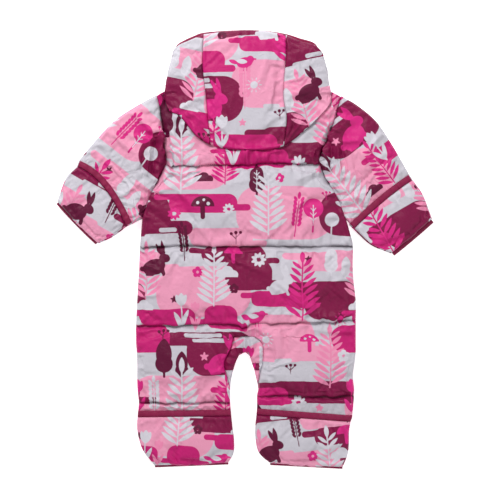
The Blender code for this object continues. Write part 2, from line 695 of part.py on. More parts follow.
def combine(name, base, others, colour, rough):
    """Unite and cut blocks; others is a list of (operation, object)."""
    for operation, other in others:
        step = base.modifiers.new(operation.lower(), "BOOLEAN")
        step.operation = operation
        step.solver = "EXACT"
        step.object = other
    shaped = base.evaluated_get(bpy.context.evaluated_depsgraph_get())
    bm = bmesh.new()
    bm.from_mesh(shaped.to_mesh())
    return finish(name, bm, colour, rough)


def make_zip():
    edge = ZIP_HALF_CHANNEL - GAP
    for name, x0, x1 in (("zip_tape_left", -edge, -COIL_HALF - GAP), ("zip_tape_right", COIL_HALF + GAP, edge)):
        bm = bmesh.new()
        box(bm, (x0, ZIP_FOOT_Y, TAPE_LOW), (x1, ZIP_TOP_Y + 3, TAPE_HIGH))
        finish(name, bm, GREY_TAPE)
    bm = bmesh.new()
    rows = np.linspace(ZIP_FOOT_Y + 1, PULL_PIVOT_Y - 7, 3)
    profile = [(-1, 5.0), (-1.3, 5.8), (-1.3, 7.6), (-1, 8.2), (1, 8.2), (1.3, 7.6), (1.3, 5.8), (1, 5.0)]
    verts = add_grid(bm, np.array([[(x, y, z) for x, z in profile] for y in rows]), close=True)
    bm.faces.new(verts[0])
    bm.faces.new(verts[-1])
    finish("zip_coil", bm, GREY_TAPE, .5)

    y, z = PULL_PIVOT_Y, PULL_PIVOT_Z
    lower = block("slider_lower", (-4, y - 6, 4.8), (4, y + 6, 6.7), .5)
    others = [block("slider_post", (-1.2, y + 2, 6.2), (1.2, y + 5.5, 9.0)),
              block("slider_upper", (-4, y - 6, 8.5), (4, y + 6, 9.6), .3),
              block("slider_lug_a", (-3.4, y - 1, z - .8), (-2.4, y + 1, 5.2)),
              block("slider_lug_b", (2.4, y - 1, z - .8), (3.4, y + 1, 5.2)),
              rod("slider_pin", y, z, PIN_R, -3.2, 3.2)]
    combine("zip_slider", lower, [("UNION", item) for item in others], PINK_METAL, .35)

    eye = rod("pull_eye", y, z, EYE_R, -2.0, 2.0)
    neck = block("pull_neck", (-1.6, y - 6, z - PULL_THICK / 2), (1.6, y - 1.1, z + PULL_THICK / 2))
    plate = block("pull_plate", (-PULL_WIDE / 2, y - PULL_LONG, z - PULL_THICK / 2),
                  (PULL_WIDE / 2, y - 5, z + PULL_THICK / 2), .3)
    hole = rod("pull_hole", y, z, EYE_HOLE_R, -3, 3)
    pull = combine("zip_pull", eye, [("UNION", neck), ("UNION", plate), ("DIFFERENCE", hole)], PINK_METAL, .35)
    pivot = np.array((0, y, z)) * .001
    for vert in pull.data.vertices:
        vert.co = np.array(vert.co) - pivot
    pull.location = pivot


# ---------------------------------------------------------------- build
for old in list(bpy.data.objects):
    bpy.data.objects.remove(old, do_unlink=True)
GARMENT = bpy.data.collections.new("baby_snowsuit")
CUTTERS = bpy.data.collections.new("cutters")
bpy.context.scene.collection.children.link(GARMENT)
bpy.context.scene.collection.children.link(CUTTERS)

body = make_body()
make_gusset()
make_hood()
make_hood_binding()
for side_name, table, sleeve, hem in (("left", LEFT_SECTIONS, LEFT_SLEEVE, 4.5),
                                      ("right", RIGHT_SECTIONS, RIGHT_SLEEVE, 7.0)):
    make_sleeve(side_name, table, sleeve, hem)
    foot_flap(side_name, body[side_name])
    end = between(*(body_edges(table)[part][-1:] for part in (OUTER, BACK)), ACROSS)[0]
    flat_hem("leg_end_binding_" + side_name, end, (0, -1), LEG_HEM_WIDE, .6)
make_zip()
for cutter in list(CUTTERS.objects):
    bpy.data.objects.remove(cutter, do_unlink=True)
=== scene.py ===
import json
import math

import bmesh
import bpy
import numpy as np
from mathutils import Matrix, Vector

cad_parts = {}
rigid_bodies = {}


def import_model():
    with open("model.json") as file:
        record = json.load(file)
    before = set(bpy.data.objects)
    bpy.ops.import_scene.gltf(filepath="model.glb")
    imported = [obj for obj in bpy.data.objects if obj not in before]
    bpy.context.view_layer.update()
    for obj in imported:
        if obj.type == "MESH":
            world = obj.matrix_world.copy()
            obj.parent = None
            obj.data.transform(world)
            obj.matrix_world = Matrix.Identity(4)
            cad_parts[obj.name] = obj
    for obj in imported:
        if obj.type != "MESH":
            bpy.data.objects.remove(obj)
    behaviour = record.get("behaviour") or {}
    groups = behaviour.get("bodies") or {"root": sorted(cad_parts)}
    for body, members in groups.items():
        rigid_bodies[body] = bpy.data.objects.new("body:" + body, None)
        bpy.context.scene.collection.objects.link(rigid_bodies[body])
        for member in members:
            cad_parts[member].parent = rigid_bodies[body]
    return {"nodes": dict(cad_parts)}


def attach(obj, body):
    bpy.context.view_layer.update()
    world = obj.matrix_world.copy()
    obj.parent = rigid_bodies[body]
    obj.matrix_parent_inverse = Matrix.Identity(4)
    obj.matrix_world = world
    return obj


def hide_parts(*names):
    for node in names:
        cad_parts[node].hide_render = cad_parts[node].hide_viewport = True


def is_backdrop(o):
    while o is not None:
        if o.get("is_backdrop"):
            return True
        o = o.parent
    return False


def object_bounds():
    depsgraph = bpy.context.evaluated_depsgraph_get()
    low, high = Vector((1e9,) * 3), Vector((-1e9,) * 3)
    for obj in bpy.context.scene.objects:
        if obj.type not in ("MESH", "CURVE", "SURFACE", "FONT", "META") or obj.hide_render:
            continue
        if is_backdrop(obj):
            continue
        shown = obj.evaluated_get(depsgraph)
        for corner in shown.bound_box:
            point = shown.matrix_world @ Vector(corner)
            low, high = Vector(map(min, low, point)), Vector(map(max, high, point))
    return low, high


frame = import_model()

# %% [markdown]
# # A padded baby snowsuit, laid flat
# A snowsuit is two padded layers sewn together round the edge, a hood of three panels and two tube sleeves.
# Covers for the hands and feet fold back over the cuffs. Here it lies on its front, so the back shows.
# Every length below is in millimetres until a piece is finished, and the solid model's box is kept first,
# because nothing made here may grow much past it.

cad_box = [list(corner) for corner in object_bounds()]
print("solid model's box in metres", cad_box)

# %% [markdown]
# ## The cut of the suit
# A pattern cutter writes a garment down as a few cross lines, each with the width at that height. The body
# is written the same way: one row a cross line, from the shoulder to the foot, with the outer edge, the back
# panel's inner edge (neck, centre line, inner leg) and the front panel's inner edge. The two sides differ
# because the suit wasn't laid down evenly.

# %% Sizes and cross lines of the body
MEET_Z = 10.0            # where the back half lies on the front half
GAP = 0.3                # between two pieces that are sewn together
SEAM_HIGH = 3.0          # one layer's thickness where a seam presses it
ROUNDING = 30.0          # how far the padding takes to rise from a seam
STEP = 1.7               # spacing of the points on a face that shows

# columns: outer_x, outer_y, back_x, back_y, front_x, front_y
LEFT_BODY = np.array([
    (-154, 268, -140, 275, -140, 275), (-150, 250, -137, 254, -138, 254), (-148, 236, -131, 240, -133, 236),
    (-146, 222, -117, 233, -122, 218), (-144, 208, -103, 219, -108, 202), (-143, 194, -86, 198, -90, 186),
    (-142, 180, -60, 182, -65, 172), (-140, 168, -33, 175, -36, 162), (-138, 157, 0, 172, -8, 158),
    (-139, 147, 0, 149, -8, 148), (-156, 114, 0, 124, -8, 124), (-168, 89, 0, 94, -8, 94),
    (-180, 54, 0, 60, -8, 60), (-182, 30, 0, 33, -8, 33), (-184, 5, 0, 5, -8, 5),
    (-186, -40, 0, -40, -8, -40), (-189, -89, 0, -89, -8, -89), (-191, -135, 0, -131, -8, -130),
    (-191, -152, 0, -152, -8, -150), (-191, -163, -19, -154, -.15, -160),
    (-190, -177, -24, -172, -.15, -181), (-189, -198, -36, -200, -16, -199),
    (-189, -228, -30, -228, -24, -228), (-188, -248, -26, -248, -26, -248),
    (-186, -268, -26, -268, -26, -268), (-187, -283, -25, -281, -25, -281),
    (-188, -294, -24, -292, -24, -292), (-189, -312, -22, -310, -22, -310),
    (-185, -335, -19, -333, -19, -333), (-177, -355, -19.5, -356, -19.5, -356),
    (-158, -378.5, -29, -373.5, -29, -373.5),
], float)
RIGHT_BODY = np.array([
    (168, 266, 150, 275, 150, 275), (164, 252, 149, 257, 149, 257), (159, 234, 142, 245, 143, 240),
    (154, 219, 128, 229, 131, 221), (149, 205, 114, 215, 117, 204), (144, 191, 96, 200, 98, 187),
    (138, 176, 68, 180, 71, 173), (133, 165, 37, 173, 40, 163), (130, 155, 0, 172, 8, 158),
    (131, 147, 0, 149, 8, 148), (148, 114, 0, 124, 8, 124), (163, 88, 0, 94, 8, 94),
    (177, 52, 0, 60, 8, 60), (184, 28, 0, 33, 8, 33), (189, 5, 0, 5, 8, 5), (189, -42, 0, -40, 8, -40),
    (194, -89, 0, -89, 8, -89), (194, -124, 0, -131, 8, -130), (194, -150, 0, -152, 8, -150),
    (194, -163, 16, -153, .15, -160), (194, -180, 31, -168, .15, -181), (192, -200, 31, -198, 12, -199),
    (189, -222, 26, -219, 18, -220), (191, -243, 23, -245, 23, -245), (191, -257, 21, -257, 21, -257),
    (188, -291, 21, -279, 21, -279), (185, -302, 20, -290, 20, -290), (182, -320, 18, -309, 18, -309),
    (182, -338, 18, -332, 18, -332), (180, -358, 24, -356, 24, -356), (171, -381.2, 44, -374.5, 44, -374.5),
], float)
OUTER, BACK, FRONT = 0, 2, 4
TURNS = {OUTER: (12,), BACK: (8, 18, 19), FRONT: (8, 9, 18, 19, 20)}
BODY = {"left": LEFT_BODY, "right": RIGHT_BODY}
print("cross lines of the body:", len(LEFT_BODY), "a side")

# %% [markdown]
# ## The other cut lines
# The gusset's free edge, the cross lines of each sleeve and the seams of the hood are written the same way.
# A sleeve's cross line is a gentle curve, so three points give it: the top edge, middle and underarm.

# %% Cross lines of the gusset, sleeves and hood
# columns: left_x, left_y, right_x, right_y, beside the body's cross lines 18 to 23
GUSSET_FOLD = np.array([
    (-1, -181.8, -1, -181.8), (-9, -183.6, 6, -180.9), (-11.5, -188.5, 8.3, -188), (-17, -201, 13, -203),
    (-24.5, -228.5, 18.5, -219.5), (-25.7, -248, 22.7, -245),
], float)
# columns: top_x, top_y, middle_x, middle_y, under_x, under_y; row 3 is the flap's bound edge
SLEEVE = {
    "left": np.array([(-192, 247, -161, 156, -184.5, 52.2), (-226, 224, -184, 138, -189, 50),
                      (-259, 190, -208, 122, -194, 47.5), (-291, 149, -244, 113, -203, 43.5),
                      (-312, 123, -271, 79, -232, 23.5), (-327.5, 82, -293.5, 45, -258.5, 11)], float),
    "right": np.array([(198, 248, 158, 160, 179.5, 50), (230, 220, 183, 140, 182, 47),
                       (258, 178, 207, 118, 184, 44.5), (289, 125, 237, 86, 187.5, 40),
                       (311, 92, 266, 48, 222, 8.5), (326.3, 52, 292, 22, 257, -6.5)], float)}
HOOD_STRIP = {
    "left": [(-60, 182), (-63, 214), (-66, 240), (-68, 266), (-71, 290), (-74, 317), (-74, 348), (-72, 376)],
    "right": [(68, 180), (73, 226), (70, 245), (67, 266), (68, 290), (70, 320), (72, 348), (71, 375)]}
HOOD_SIDE = {"left": [(-140, 275), (-138, 289), (-135, 306), (-132, 320), (-129, 333)],
             "right": [(150, 275), (147, 289), (144, 306), (141, 322), (138, 336)]}
BRIM = {"left": [(-72, 376), (-87, 370), (-101, 363.8), (-116, 356.5), (-126, 345.5), (-129, 333)],
        "right": [(71, 375), (96, 364.9), (118, 358.6), (130.5, 349.5), (138, 336)],
        "middle": [(-72, 376), (-35, 381.2), (0, 383.6), (35, 381.8), (71, 375)]}
FACE_EDGE = {
    "left": [(-8, 158), (-34, 172), (-58, 194), (-78, 222), (-94, 256), (-108, 292), (-117, 325)],
    "right": [(8, 158), (34, 172), (60, 194), (82, 222), (100, 256), (116, 292), (126, 327)]}
CUFF_WIDE, LEG_END_WIDE = {"left": 4.5, "right": 7.0}, 4.2     # what shows of the elastic bindings
print("cross lines of a sleeve:", 1 + len(SLEEVE["left"]))

# %% [markdown]
# ## Curves through the cross lines
# Cloth edges are smooth, so the rows of a table are joined by a Catmull-Rom curve: each stretch is a cubic
# whose slope at a row is half the step between its two neighbours. At a corner, such as the underarm, the
# slope isn't shared, so the curve can turn there.

# %% Curve helpers
def spline(points, rows, turns=()):
    """Catmull-Rom curve through a table, read at fractional rows: half of 2 p1 + (p2 - p0) f
    + (2 p0 - 5 p1 + 4 p2 - p3) f^2 + (3 p1 - p0 - 3 p2 + p3) f^3."""
    points = np.asarray(points, float)
    rows = np.atleast_1d(np.asarray(rows, float))
    last = len(points) - 1
    i = np.clip(np.floor(rows).astype(int), 0, last - 1)
    shape = (-1,) + (1,) * (points.ndim - 1)
    f = (rows - i).reshape(shape)
    p1, p2 = points[i], points[i + 1]
    starts = (np.isin(i, turns) | (i == 0)).reshape(shape)
    ends = (np.isin(i + 1, turns) | (i + 1 == last)).reshape(shape)
    p0 = np.where(starts, 2 * p1 - p2, points[np.maximum(i - 1, 0)])
    p3 = np.where(ends, 2 * p2 - p1, points[np.minimum(i + 2, last)])
    return 0.5 * (2 * p1 + (p2 - p0) * f + (2 * p0 - 5 * p1 + 4 * p2 - p3) * f ** 2
                  + (3 * p1 - p0 - 3 * p2 + p3) * f ** 3)


def lengths(points):
    """Distance along a line to each of its points."""
    return np.concatenate([[0], np.cumsum(np.linalg.norm(np.diff(points, axis=0), axis=1))])


def along(points, fractions):
    """Points at fractions of a curve's whole length."""
    fine = spline(points, np.linspace(0, len(points) - 1, 60 * len(points)))
    run = lengths(fine)
    wanted = np.asarray(fractions, float) * run[-1]
    return np.stack([np.interp(wanted, run, fine[:, k]) for k in range(fine.shape[1])], axis=1)


def share(points):
    """How far along a line each of its points lies, from 0 to 1."""
    run = lengths(points)
    return run / run[-1]


def even_rows(first, second, keys, step):
    """Fractional rows about a step apart, measured midway between two edges. They pass through the key rows,
    with a number of steps between two keys that three divides."""
    rows = [np.array([keys[0]], float)]
    for a, b in zip(keys[:-1], keys[1:]):
        fine = np.linspace(a, b, 60)
        run = (lengths(first(fine)) + lengths(second(fine))) / 2
        count = 3 * max(1, int(round(run[-1] / step / 3)))
        rows.append(np.interp(np.linspace(0, run[-1], count + 1)[1:], run, fine))
    return np.concatenate(rows)


def between(first, second, fractions):
    """Rows that run straight from one edge's points to another's: (1 - f) first + f second."""
    f = np.asarray(fractions)[None, :, None]
    return first[:, None] * (1 - f) + second[:, None] * f


def coons(start, end, side_a, side_b):
    """Patch with four given edges: lengthwise blend + crosswise blend - blend of the four corners."""
    u, v = share(start)[None, :, None], share(side_a)[:, None, None]
    corners = (start[0] * (1 - u) + start[-1] * u) * (1 - v) + (end[0] * (1 - u) + end[-1] * u) * v
    return start[None] * (1 - v) + end[None] * v + side_a[:, None] * (1 - u) + side_b[:, None] * u - corners


def shifted(line, amount):
    """A line moved sideways, to the left of its direction."""
    step = np.gradient(line, axis=0)
    step /= np.linalg.norm(step, axis=1)[:, None]
    return line + amount * np.stack([-step[:, 1], step[:, 0]], axis=1)


def edge_of(side, part, rows):
    return spline(BODY[side][:, part:part + 2], rows, TURNS[part])


left_edge = edge_of("left", OUTER, np.linspace(0, 30, 600))
print("outer edge of the left side, shoulder to foot: %.0f mm" % lengths(left_edge)[-1])

# %% [markdown]
# ## The printed cloth
# The shell is a thin woven polyester, printed before it is cut. A printer lays down one ink after another,
# each through its own screen, so a motif's edge is crisp and a later ink covers an earlier one. The same is
# done here: each ink is a distance from the edge of its shapes, less than zero inside, and the smaller of two
# distances joins two shapes. The repeat is a meadow of rounded hills with leafy branches, reeds, flowers,
# toadstools, hares and birds. It comes back every 372 mm across and 418 mm up.

# %% Simple shapes of the print, as distances in millimetres
# the repeat's width and height
REPEAT = np.array([372.0, 418.0])
MARGIN = 6.0             # how far past a motif its distances are still worked out
FAR = 60.0               # the distance of a point that no shape is near


def pill(p, x0, y0, x1, y1, r):
    """Round-ended bar: distance from the line between its ends, less its radius."""
    a, d = np.array((x0, y0)), np.array((x1 - x0, y1 - y0), float)
    t = np.clip(((p - a) @ d) / (d @ d), 0, 1)
    return np.linalg.norm(p - (a + t[:, None] * d), axis=1) - r


def disc(p, x, y, r):
    """Disc: distance from its centre, less its radius."""
    return np.hypot(p[:, 0] - x, p[:, 1] - y) - r


def oval(p, x, y, a, b, turn=0.0):
    """Oval: a disc in coordinates divided by its two radii, scaled back by the smaller one."""
    c, s = math.cos(math.radians(turn)), math.sin(math.radians(turn))
    q = (p - (x, y)) @ np.array([[c, -s], [s, c]])
    return (np.hypot(q[:, 0] / a, q[:, 1] / b) - 1) * min(a, b)


def block(p, x, y, a, b, r):
    """Block with round corners: distance outside a smaller block, less the corner radius."""
    q = np.abs(p - (x, y)) - (a - r, b - r)
    return np.hypot(*np.maximum(q, 0).T) + np.minimum(q.max(axis=1), 0) - r


def leaf(p, x0, y0, x1, y1, half):
    """Leaf: where two large discs overlap, pointed at both ends and half as wide as told in its middle."""
    a, b = np.array((x0, y0), float), np.array((x1, y1), float)
    length = np.hypot(*(b - a))
    d = (b - a) / length
    q = p - (a + b) / 2
    q = np.abs(np.stack([q @ np.array((-d[1], d[0])), q @ d], axis=1))
    big = (length ** 2 / 4 + half ** 2) / (2 * half)
    off, tip = big - half, length / 2
    side = np.hypot(q[:, 0] + off, q[:, 1]) - big
    return np.where((q[:, 1] - tip) * off > q[:, 0] * tip, np.hypot(q[:, 0], q[:, 1] - tip), side)


def joined_shapes(*parts):
    return np.minimum.reduce(parts)


# %% [markdown]
# ## The motifs
# Each motif is a few of those shapes joined, as a screen maker would cut it. It stands on its own zero point.
# The hills are plain blocks with round corners, since the plants and animals cover much of them.

# %% Plants, animals, sky and hills
def branch(p):
    """A stem with pairs of rounded leaves that get shorter towards its tip."""
    parts = [pill(p, 0, 0, 0, 94, 1.2), leaf(p, 0, 92, 0, 116, 4.2)]
    for k in range(8):
        y, reach = 5 + 11.4 * k, 32 - 2.1 * k
        for s in (-1, 1):
            parts.append(leaf(p, s, y + 2 * s, s * reach, y + 7 + .42 * reach + 2 * s, 3.9 - .12 * k))
    return joined_shapes(*parts)


def reed(p):
    parts = [pill(p, 0, 0, 0, 70, 1.1), oval(p, 0, 80, 3.2, 7)]
    for k in range(14):
        s = 1 - 2 * (k % 2)
        parts.append(oval(p, s * 6.5, 25 + 8 * (k // 2), 3.0, 5.6, -s * 32))
    return joined_shapes(*parts)


def tulip(p):
    stalk = [pill(p, 0, 0, 0, 44, 1.3), leaf(p, 0, 0, -15, 30, 4.2), leaf(p, 0, 2, 14, 34, 4.0)]
    head = [leaf(p, 0, 40, 0, 66, 6.5), leaf(p, -1, 40, -9.5, 63, 5), leaf(p, 1, 40, 9.5, 63, 5)]
    return joined_shapes(*stalk, *head)


def daisy(p):
    turns = [k * 2 * math.pi / 9 for k in range(9)]
    rays = [(math.cos(a), math.sin(a)) for a in turns]
    return joined_shapes(*[leaf(p, 3.5 * x, 3.5 * y, 15 * x, 15 * y, 3) for x, y in rays])


def blossom(p):
    turns = [k * 2 * math.pi / 5 + .3 for k in range(5)]
    petals = joined_shapes(*[disc(p, 6.2 * math.cos(a), 6.2 * math.sin(a), 4.6) for a in turns])
    return np.maximum(petals, -disc(p, 0, 0, 2.8))


def toadstool(p):
    return joined_shapes(np.maximum(oval(p, 0, 22, 21, 19), 22 - p[:, 1]), pill(p, 0, 3, 0, 20, 4.2))


def spots(p):
    return joined_shapes(disc(p, -9, 29, 3), disc(p, 2, 34, 2.6), disc(p, 10, 27, 3.2))


def bird(p):
    legs = [pill(p, -2, -8, -3, -16, .9), pill(p, 4, -8, 4, -16, .9)]
    beak, tail = leaf(p, 17, 10, 26, 9, 1.9), leaf(p, -14, 0, -34, 8, 4.5)
    return joined_shapes(oval(p, 0, 2, 17, 11, 12), disc(p, 12, 9, 7.5), tail, beak, *legs)


def wing(p):
    return leaf(p, 6, 3, -18, 6, 5)


def hare(p):
    body = [oval(p, 0, 19, 24, 18, 16), disc(p, -13, 13, 13), pill(p, 10, 26, 18, 34, 8)]
    head = [oval(p, 22, 38, 12.5, 9.5, -22), leaf(p, 17, 43, 3, 73, 4.6), leaf(p, 21, 44, 15, 77, 4.6)]
    tail_and_feet = [disc(p, -27, 14, 5.5), pill(p, 17, 16, 21, 2, 4), pill(p, -18, 2, -4, 2, 3.4)]
    return joined_shapes(*body, *head, *tail_and_feet)


def roundtree(p):
    return joined_shapes(disc(p, 0, 46, 19), pill(p, 0, 0, 0, 40, 1.9))


def droptree(p):
    return joined_shapes(disc(p, 0, 22, 15), leaf(p, 0, 10, 0, 66, 13.5), pill(p, 0, 0, 0, 20, 2))


def twigs(p):
    parts = [pill(p, 0, 12, 0, 52, .9)]
    for k in range(3):
        parts += [pill(p, 0, 22 + 9 * k, s * (7 - k), 28 + 9 * k, .8) for s in (-1, 1)]
    return joined_shapes(*parts)


def cloud(p):
    puffs = [disc(p, -12, 0, 9), disc(p, 1, 4, 12), disc(p, 14, 0, 8), pill(p, -14, -4, 16, -4, 5)]
    return np.maximum(joined_shapes(*puffs), -5 - p[:, 1])


def sun(p):
    turns = [k * math.pi / 5 for k in range(10)]
    rays = [(math.cos(a), math.sin(a)) for a in turns]
    return joined_shapes(disc(p, 0, 0, 7), *[pill(p, 10 * x, 10 * y, 14 * x, 14 * y, 1) for x, y in rays])


def star(p):
    """Five points: the radius shrinks and grows five times round the turn."""
    k = np.abs((np.arctan2(p[:, 0], p[:, 1]) / (2 * math.pi / 5)) % 1 - .5) * 2
    return (np.hypot(*p.T) - (3.2 + 5.2 * k ** 1.3)) * .7


def berries(p):
    return joined_shapes(pill(p, 0, 0, 0, 15, .8), pill(p, 0, 8, 7, 15, .8), pill(p, 0, 6, -7, 13, .8),
                         disc(p, 0, 17, 3), disc(p, 8, 17, 2.8), disc(p, -8, 15, 2.8))


def mist(p):
    bars = ((-34, 30, 0), (-18, 46, -11), (-6, 20, 11))
    return joined_shapes(*[pill(p, x0, y, x1, y, 4.2) for x0, x1, y in bars])


def hill(p):
    return block(p, 0, 0, 74, 40, 34)


def mound(p):
    return joined_shapes(block(p, 0, 0, 52, 34, 30), pill(p, 34, -22, 74, -22, 11))


def bank(p):
    streaks = [pill(p, -80, 8, 20, 8, 6), pill(p, 10, -12, 84, -12, 5.5)]
    return joined_shapes(block(p, 0, 0, 62, 17, 16), *streaks)


# each motif's function and how far it reaches from its zero point
MOTIFS = {shape.__name__: (shape, reach) for shape, reach in (
    (branch, 120), (reed, 92), (tulip, 70), (daisy, 17), (blossom, 13), (toadstool, 44), (spots, 38),
    (bird, 38), (wing, 22), (hare, 82), (roundtree, 68), (droptree, 70), (twigs, 56), (cloud, 26), (sun, 17),
    (star, 11), (berries, 24), (mist, 54), (hill, 86), (mound, 90), (bank, 96))}
print("motifs:", ", ".join(MOTIFS))

# %% [markdown]
# ## The repeat
# A designer places the motifs by hand, so nothing lines up. The hills go down first in three colours and the
# mist over them, then the plants and animals in four. A table holds the places of one repeat.

# %% The layout of one repeat and the ink distances at a point of the cloth
INKS = ["pink_hills", "maroon_hills", "magenta_hills", "grey_mist", "pink", "maroon", "magenta", "grey"]
# columns: x, y, size, turn in degrees, ink
LAYOUT = {
    "hill": [(70, 62, 1.15, 0, 0), (262, 150, 1.2, 0, 0), (300, 342, 1.1, 0, 0), (196, 262, .62, 0, 2),
             (120, 120, .35, 0, 3)],
    "mound": [(60, 262, 1.2, 0, 0), (186, 60, 1.12, 0, 1), (330, 236, 1.15, 180, 1),
              (150, 330, .95, 180, 1), (6, 372, .8, 0, 1), (330, 300, .55, 0, 2)],
    "bank": [(160, 398, 1.1, 0, 0), (330, 20, .9, 0, 0), (118, 168, 1.15, 0, 1), (352, 408, .9, 0, 1),
             (300, 78, .95, 180, 2), (20, 160, .9, 180, 2), (236, 300, .8, 0, 2), (60, 330, .8, 0, 2)],
    "mist": [(232, 22, .9, 0, 3), (60, 214, .9, 0, 3), (300, 268, .9, 0, 3)],
    "branch": [(40, 24, 1.05, 0, 7), (262, 96, 1.15, 0, 7), (148, 176, 1, 0, 4), (100, 296, 1.05, 0, 6),
               (318, 318, .95, 0, 7), (200, 330, .9, 0, 4), (338, 110, .8, 0, 6)],
    "reed": [(86, 20, .9, -6, 6), (214, 120, .9, 0, 7), (20, 220, .95, 0, 4), (268, 396, .8, 5, 5)],
    "hare": [(330, 200, .95, 0, 6), (214, 372, .8, 0, 5), (60, 338, .7, 0, 7)],
    "bird": [(186, 74, .9, 0, 7), (20, 296, .8, 0, 6)],
    "wing": [(186, 74, .9, 0, 5), (20, 296, .8, 0, 7)],
    "toadstool": [(300, 52, .95, 0, 5), (112, 238, .8, 0, 6), (352, 392, .8, 0, 6)],
    "spots": [(300, 52, .95, 0, 7), (112, 238, .8, 0, 7)],
    "roundtree": [(118, 28, .9, 0, 6), (150, 20, .65, 0, 7)],
    "twigs": [(118, 28, .9, 0, 7), (150, 20, .65, 0, 5), (232, 196, .9, 0, 4), (20, 90, .9, 0, 7)],
    "droptree": [(232, 196, 1, 0, 5), (262, 190, .75, 0, 5), (20, 90, .9, 0, 5), (150, 372, .8, 0, 7),
                 (176, 366, .6, 0, 7)],
    "tulip": [(186, 132, .9, 0, 6), (352, 150, .9, 0, 7), (262, 282, .9, 0, 7), (286, 280, .7, 0, 4)],
    "daisy": [(94, 150, .95, 0, 7), (250, 60, .8, 0, 6), (24, 400, .9, 0, 7), (344, 68, .7, 0, 7)],
    "blossom": [(170, 232, 1, 0, 7), (290, 376, .9, 0, 6), (60, 122, .8, 0, 6), (352, 348, .8, 0, 5)],
    "berries": [(230, 260, 1, 0, 5), (80, 200, .9, 0, 5), (356, 10, 1, 0, 5), (140, 84, .8, 0, 6)],
    "cloud": [(340, 372, .9, 0, 7), (196, 316, .8, 0, 7), (300, 120, .8, 0, 5)],
    "sun": [(36, 260, .9, 0, 7), (166, 296, .8, 0, 6)],
    "star": [(130, 140, 1, 0, 4), (220, 100, 1, 0, 4), (300, 230, 1, 0, 4), (250, 330, .9, 0, 5),
             (16, 196, .9, 0, 4), (110, 400, .9, 0, 5)],
}


def ink_distances(cut):
    """How far each point of the flat cloth lies from the shapes of every ink. Each motif's distance is worked
    out at the nearest of its repeats, and the smallest of an ink's distances is kept."""
    cut = np.asarray(cut, float)
    found = np.full((len(INKS), len(cut)), FAR)
    places = [(*MOTIFS[motif], *row) for motif, rows in LAYOUT.items() for row in rows]
    for shape, reach, x, y, size, turn, ink in places:
        offset = cut - (x, y)
        offset -= REPEAT * np.round(offset / REPEAT)
        near_it = np.flatnonzero(np.abs(offset).max(axis=1) < (reach + MARGIN) * size)
        c, s = math.cos(math.radians(turn)), math.sin(math.radians(turn))
        p = offset[near_it] @ np.array([[c, -s], [s, c]]) / size
        found[ink, near_it] = np.minimum(found[ink, near_it], shape(p) * size)
    return found


def on_the_bolt(xy, turn=0.0, shift=(0.0, 0.0), mirrored=False):
    """Where a piece's points lie on the printed cloth before it is cut: mirrored, turned and shifted."""
    flat = xy * ((-1, 1) if mirrored else (1, 1))
    c, s = math.cos(math.radians(turn)), math.sin(math.radians(turn))
    return flat @ np.array([[c, s], [-s, c]]) + shift


print("places in one repeat:", sum(len(rows) for rows in LAYOUT.values()))

# %% [markdown]
# ## Finishes
# The shell and its print share one finish: thin plain-woven polyester, calendered smooth, which gives a soft
# sheen and no gloss. Its threads are about 0.3 mm apart, too fine to draw, so the weave is drawn at 1.6 mm
# and kept very low. The bindings are folded strips of the same cloth, dyed through. Each ink is mixed over
# the last where its distance is less than zero, within a third of a millimetre, as a screen print's edge is.
# Cloth that is pinched into its stitching gets painted shade, a little darker colour, since light hardly gets
# in there.

# %% Colours and the node helper
def linear(code):
    """A hex colour's sRGB values v as linear light: ((v + 0.055) / 1.055) ^ 2.4, or v / 12.92 if dark."""
    v = np.array([int(code[k:k + 2], 16) for k in (1, 3, 5)]) / 255
    return (*np.where(v <= .04045, v / 12.92, ((v + .055) / 1.055) ** 2.4).tolist(), 1.0)


def add(tree, kind, links=None, **settings):
    """One node with its settings; links gives its sockets a value or another node's output."""
    node = tree.nodes.new(kind)
    for name, value in settings.items():
        setattr(node, name, value)
    for socket, value in (links or {}).items():
        if isinstance(value, bpy.types.NodeSocket):
            tree.links.new(value, node.inputs[socket])
        else:
            node.inputs[socket].default_value = value
    return node


COLOURS = {
    "ground": "#c1bdc6", "pink_hills": "#e194b1", "maroon_hills": "#7b0e41", "magenta_hills": "#bd1a6c",
    "grey_mist": "#c1bdc6", "pink": "#e183a8", "maroon": "#5c0932", "magenta": "#cd237b", "grey": "#cbc7d0"}


def blank(name):
    made = bpy.data.materials.new(name)
    made.use_nodes = True
    return made, made.node_tree, made.node_tree.nodes["Principled BSDF"]


WAVE_SCALE = .314        # a wave texture's scale for one band a metre: pi / 10


def woven_relief(tree, place, pitch, height, crinkle):
    """Plain weave as the product of two sine bands a pitch apart, over small crinkles of pressed cloth."""
    bands = {"Vector": place, "Scale": WAVE_SCALE / pitch}
    across = add(tree, "ShaderNodeTexWave", bands, bands_direction="X").outputs["Fac"]
    down = add(tree, "ShaderNodeTexWave", bands, bands_direction="Y").outputs["Fac"]
    weave = add(tree, "ShaderNodeMath", {0: across, 1: down}, operation="MULTIPLY")
    first = add(tree, "ShaderNodeBump", {"Strength": .35, "Distance": height, "Height": weave.outputs[0]})
    noise = add(tree, "ShaderNodeTexNoise", {"Vector": place, "Scale": 60.0, "Detail": 4.0, "Roughness": .6,
                                             "Lacunarity": 2.1, "Distortion": .5})
    ridge = add(tree, "ShaderNodeMath", {0: noise.outputs["Fac"], 1: .5}, operation="SUBTRACT")
    sharp = add(tree, "ShaderNodeMath", {0: ridge.outputs[0]}, operation="ABSOLUTE")
    second = add(tree, "ShaderNodeBump", {"Strength": 1.0, "Distance": crinkle, "Height": sharp.outputs[0],
                                          "Normal": first.outputs[0]})
    return second.outputs[0]


EDGE_BLUR = .33          # half the width, in mm, over which a printed edge fades
# painted shade: the share by which the shell's colour is darkened towards dark mauve in stitched creases
CREASE_SHADE = .74       # how much darker cloth looks where it is pinched double into its stitching


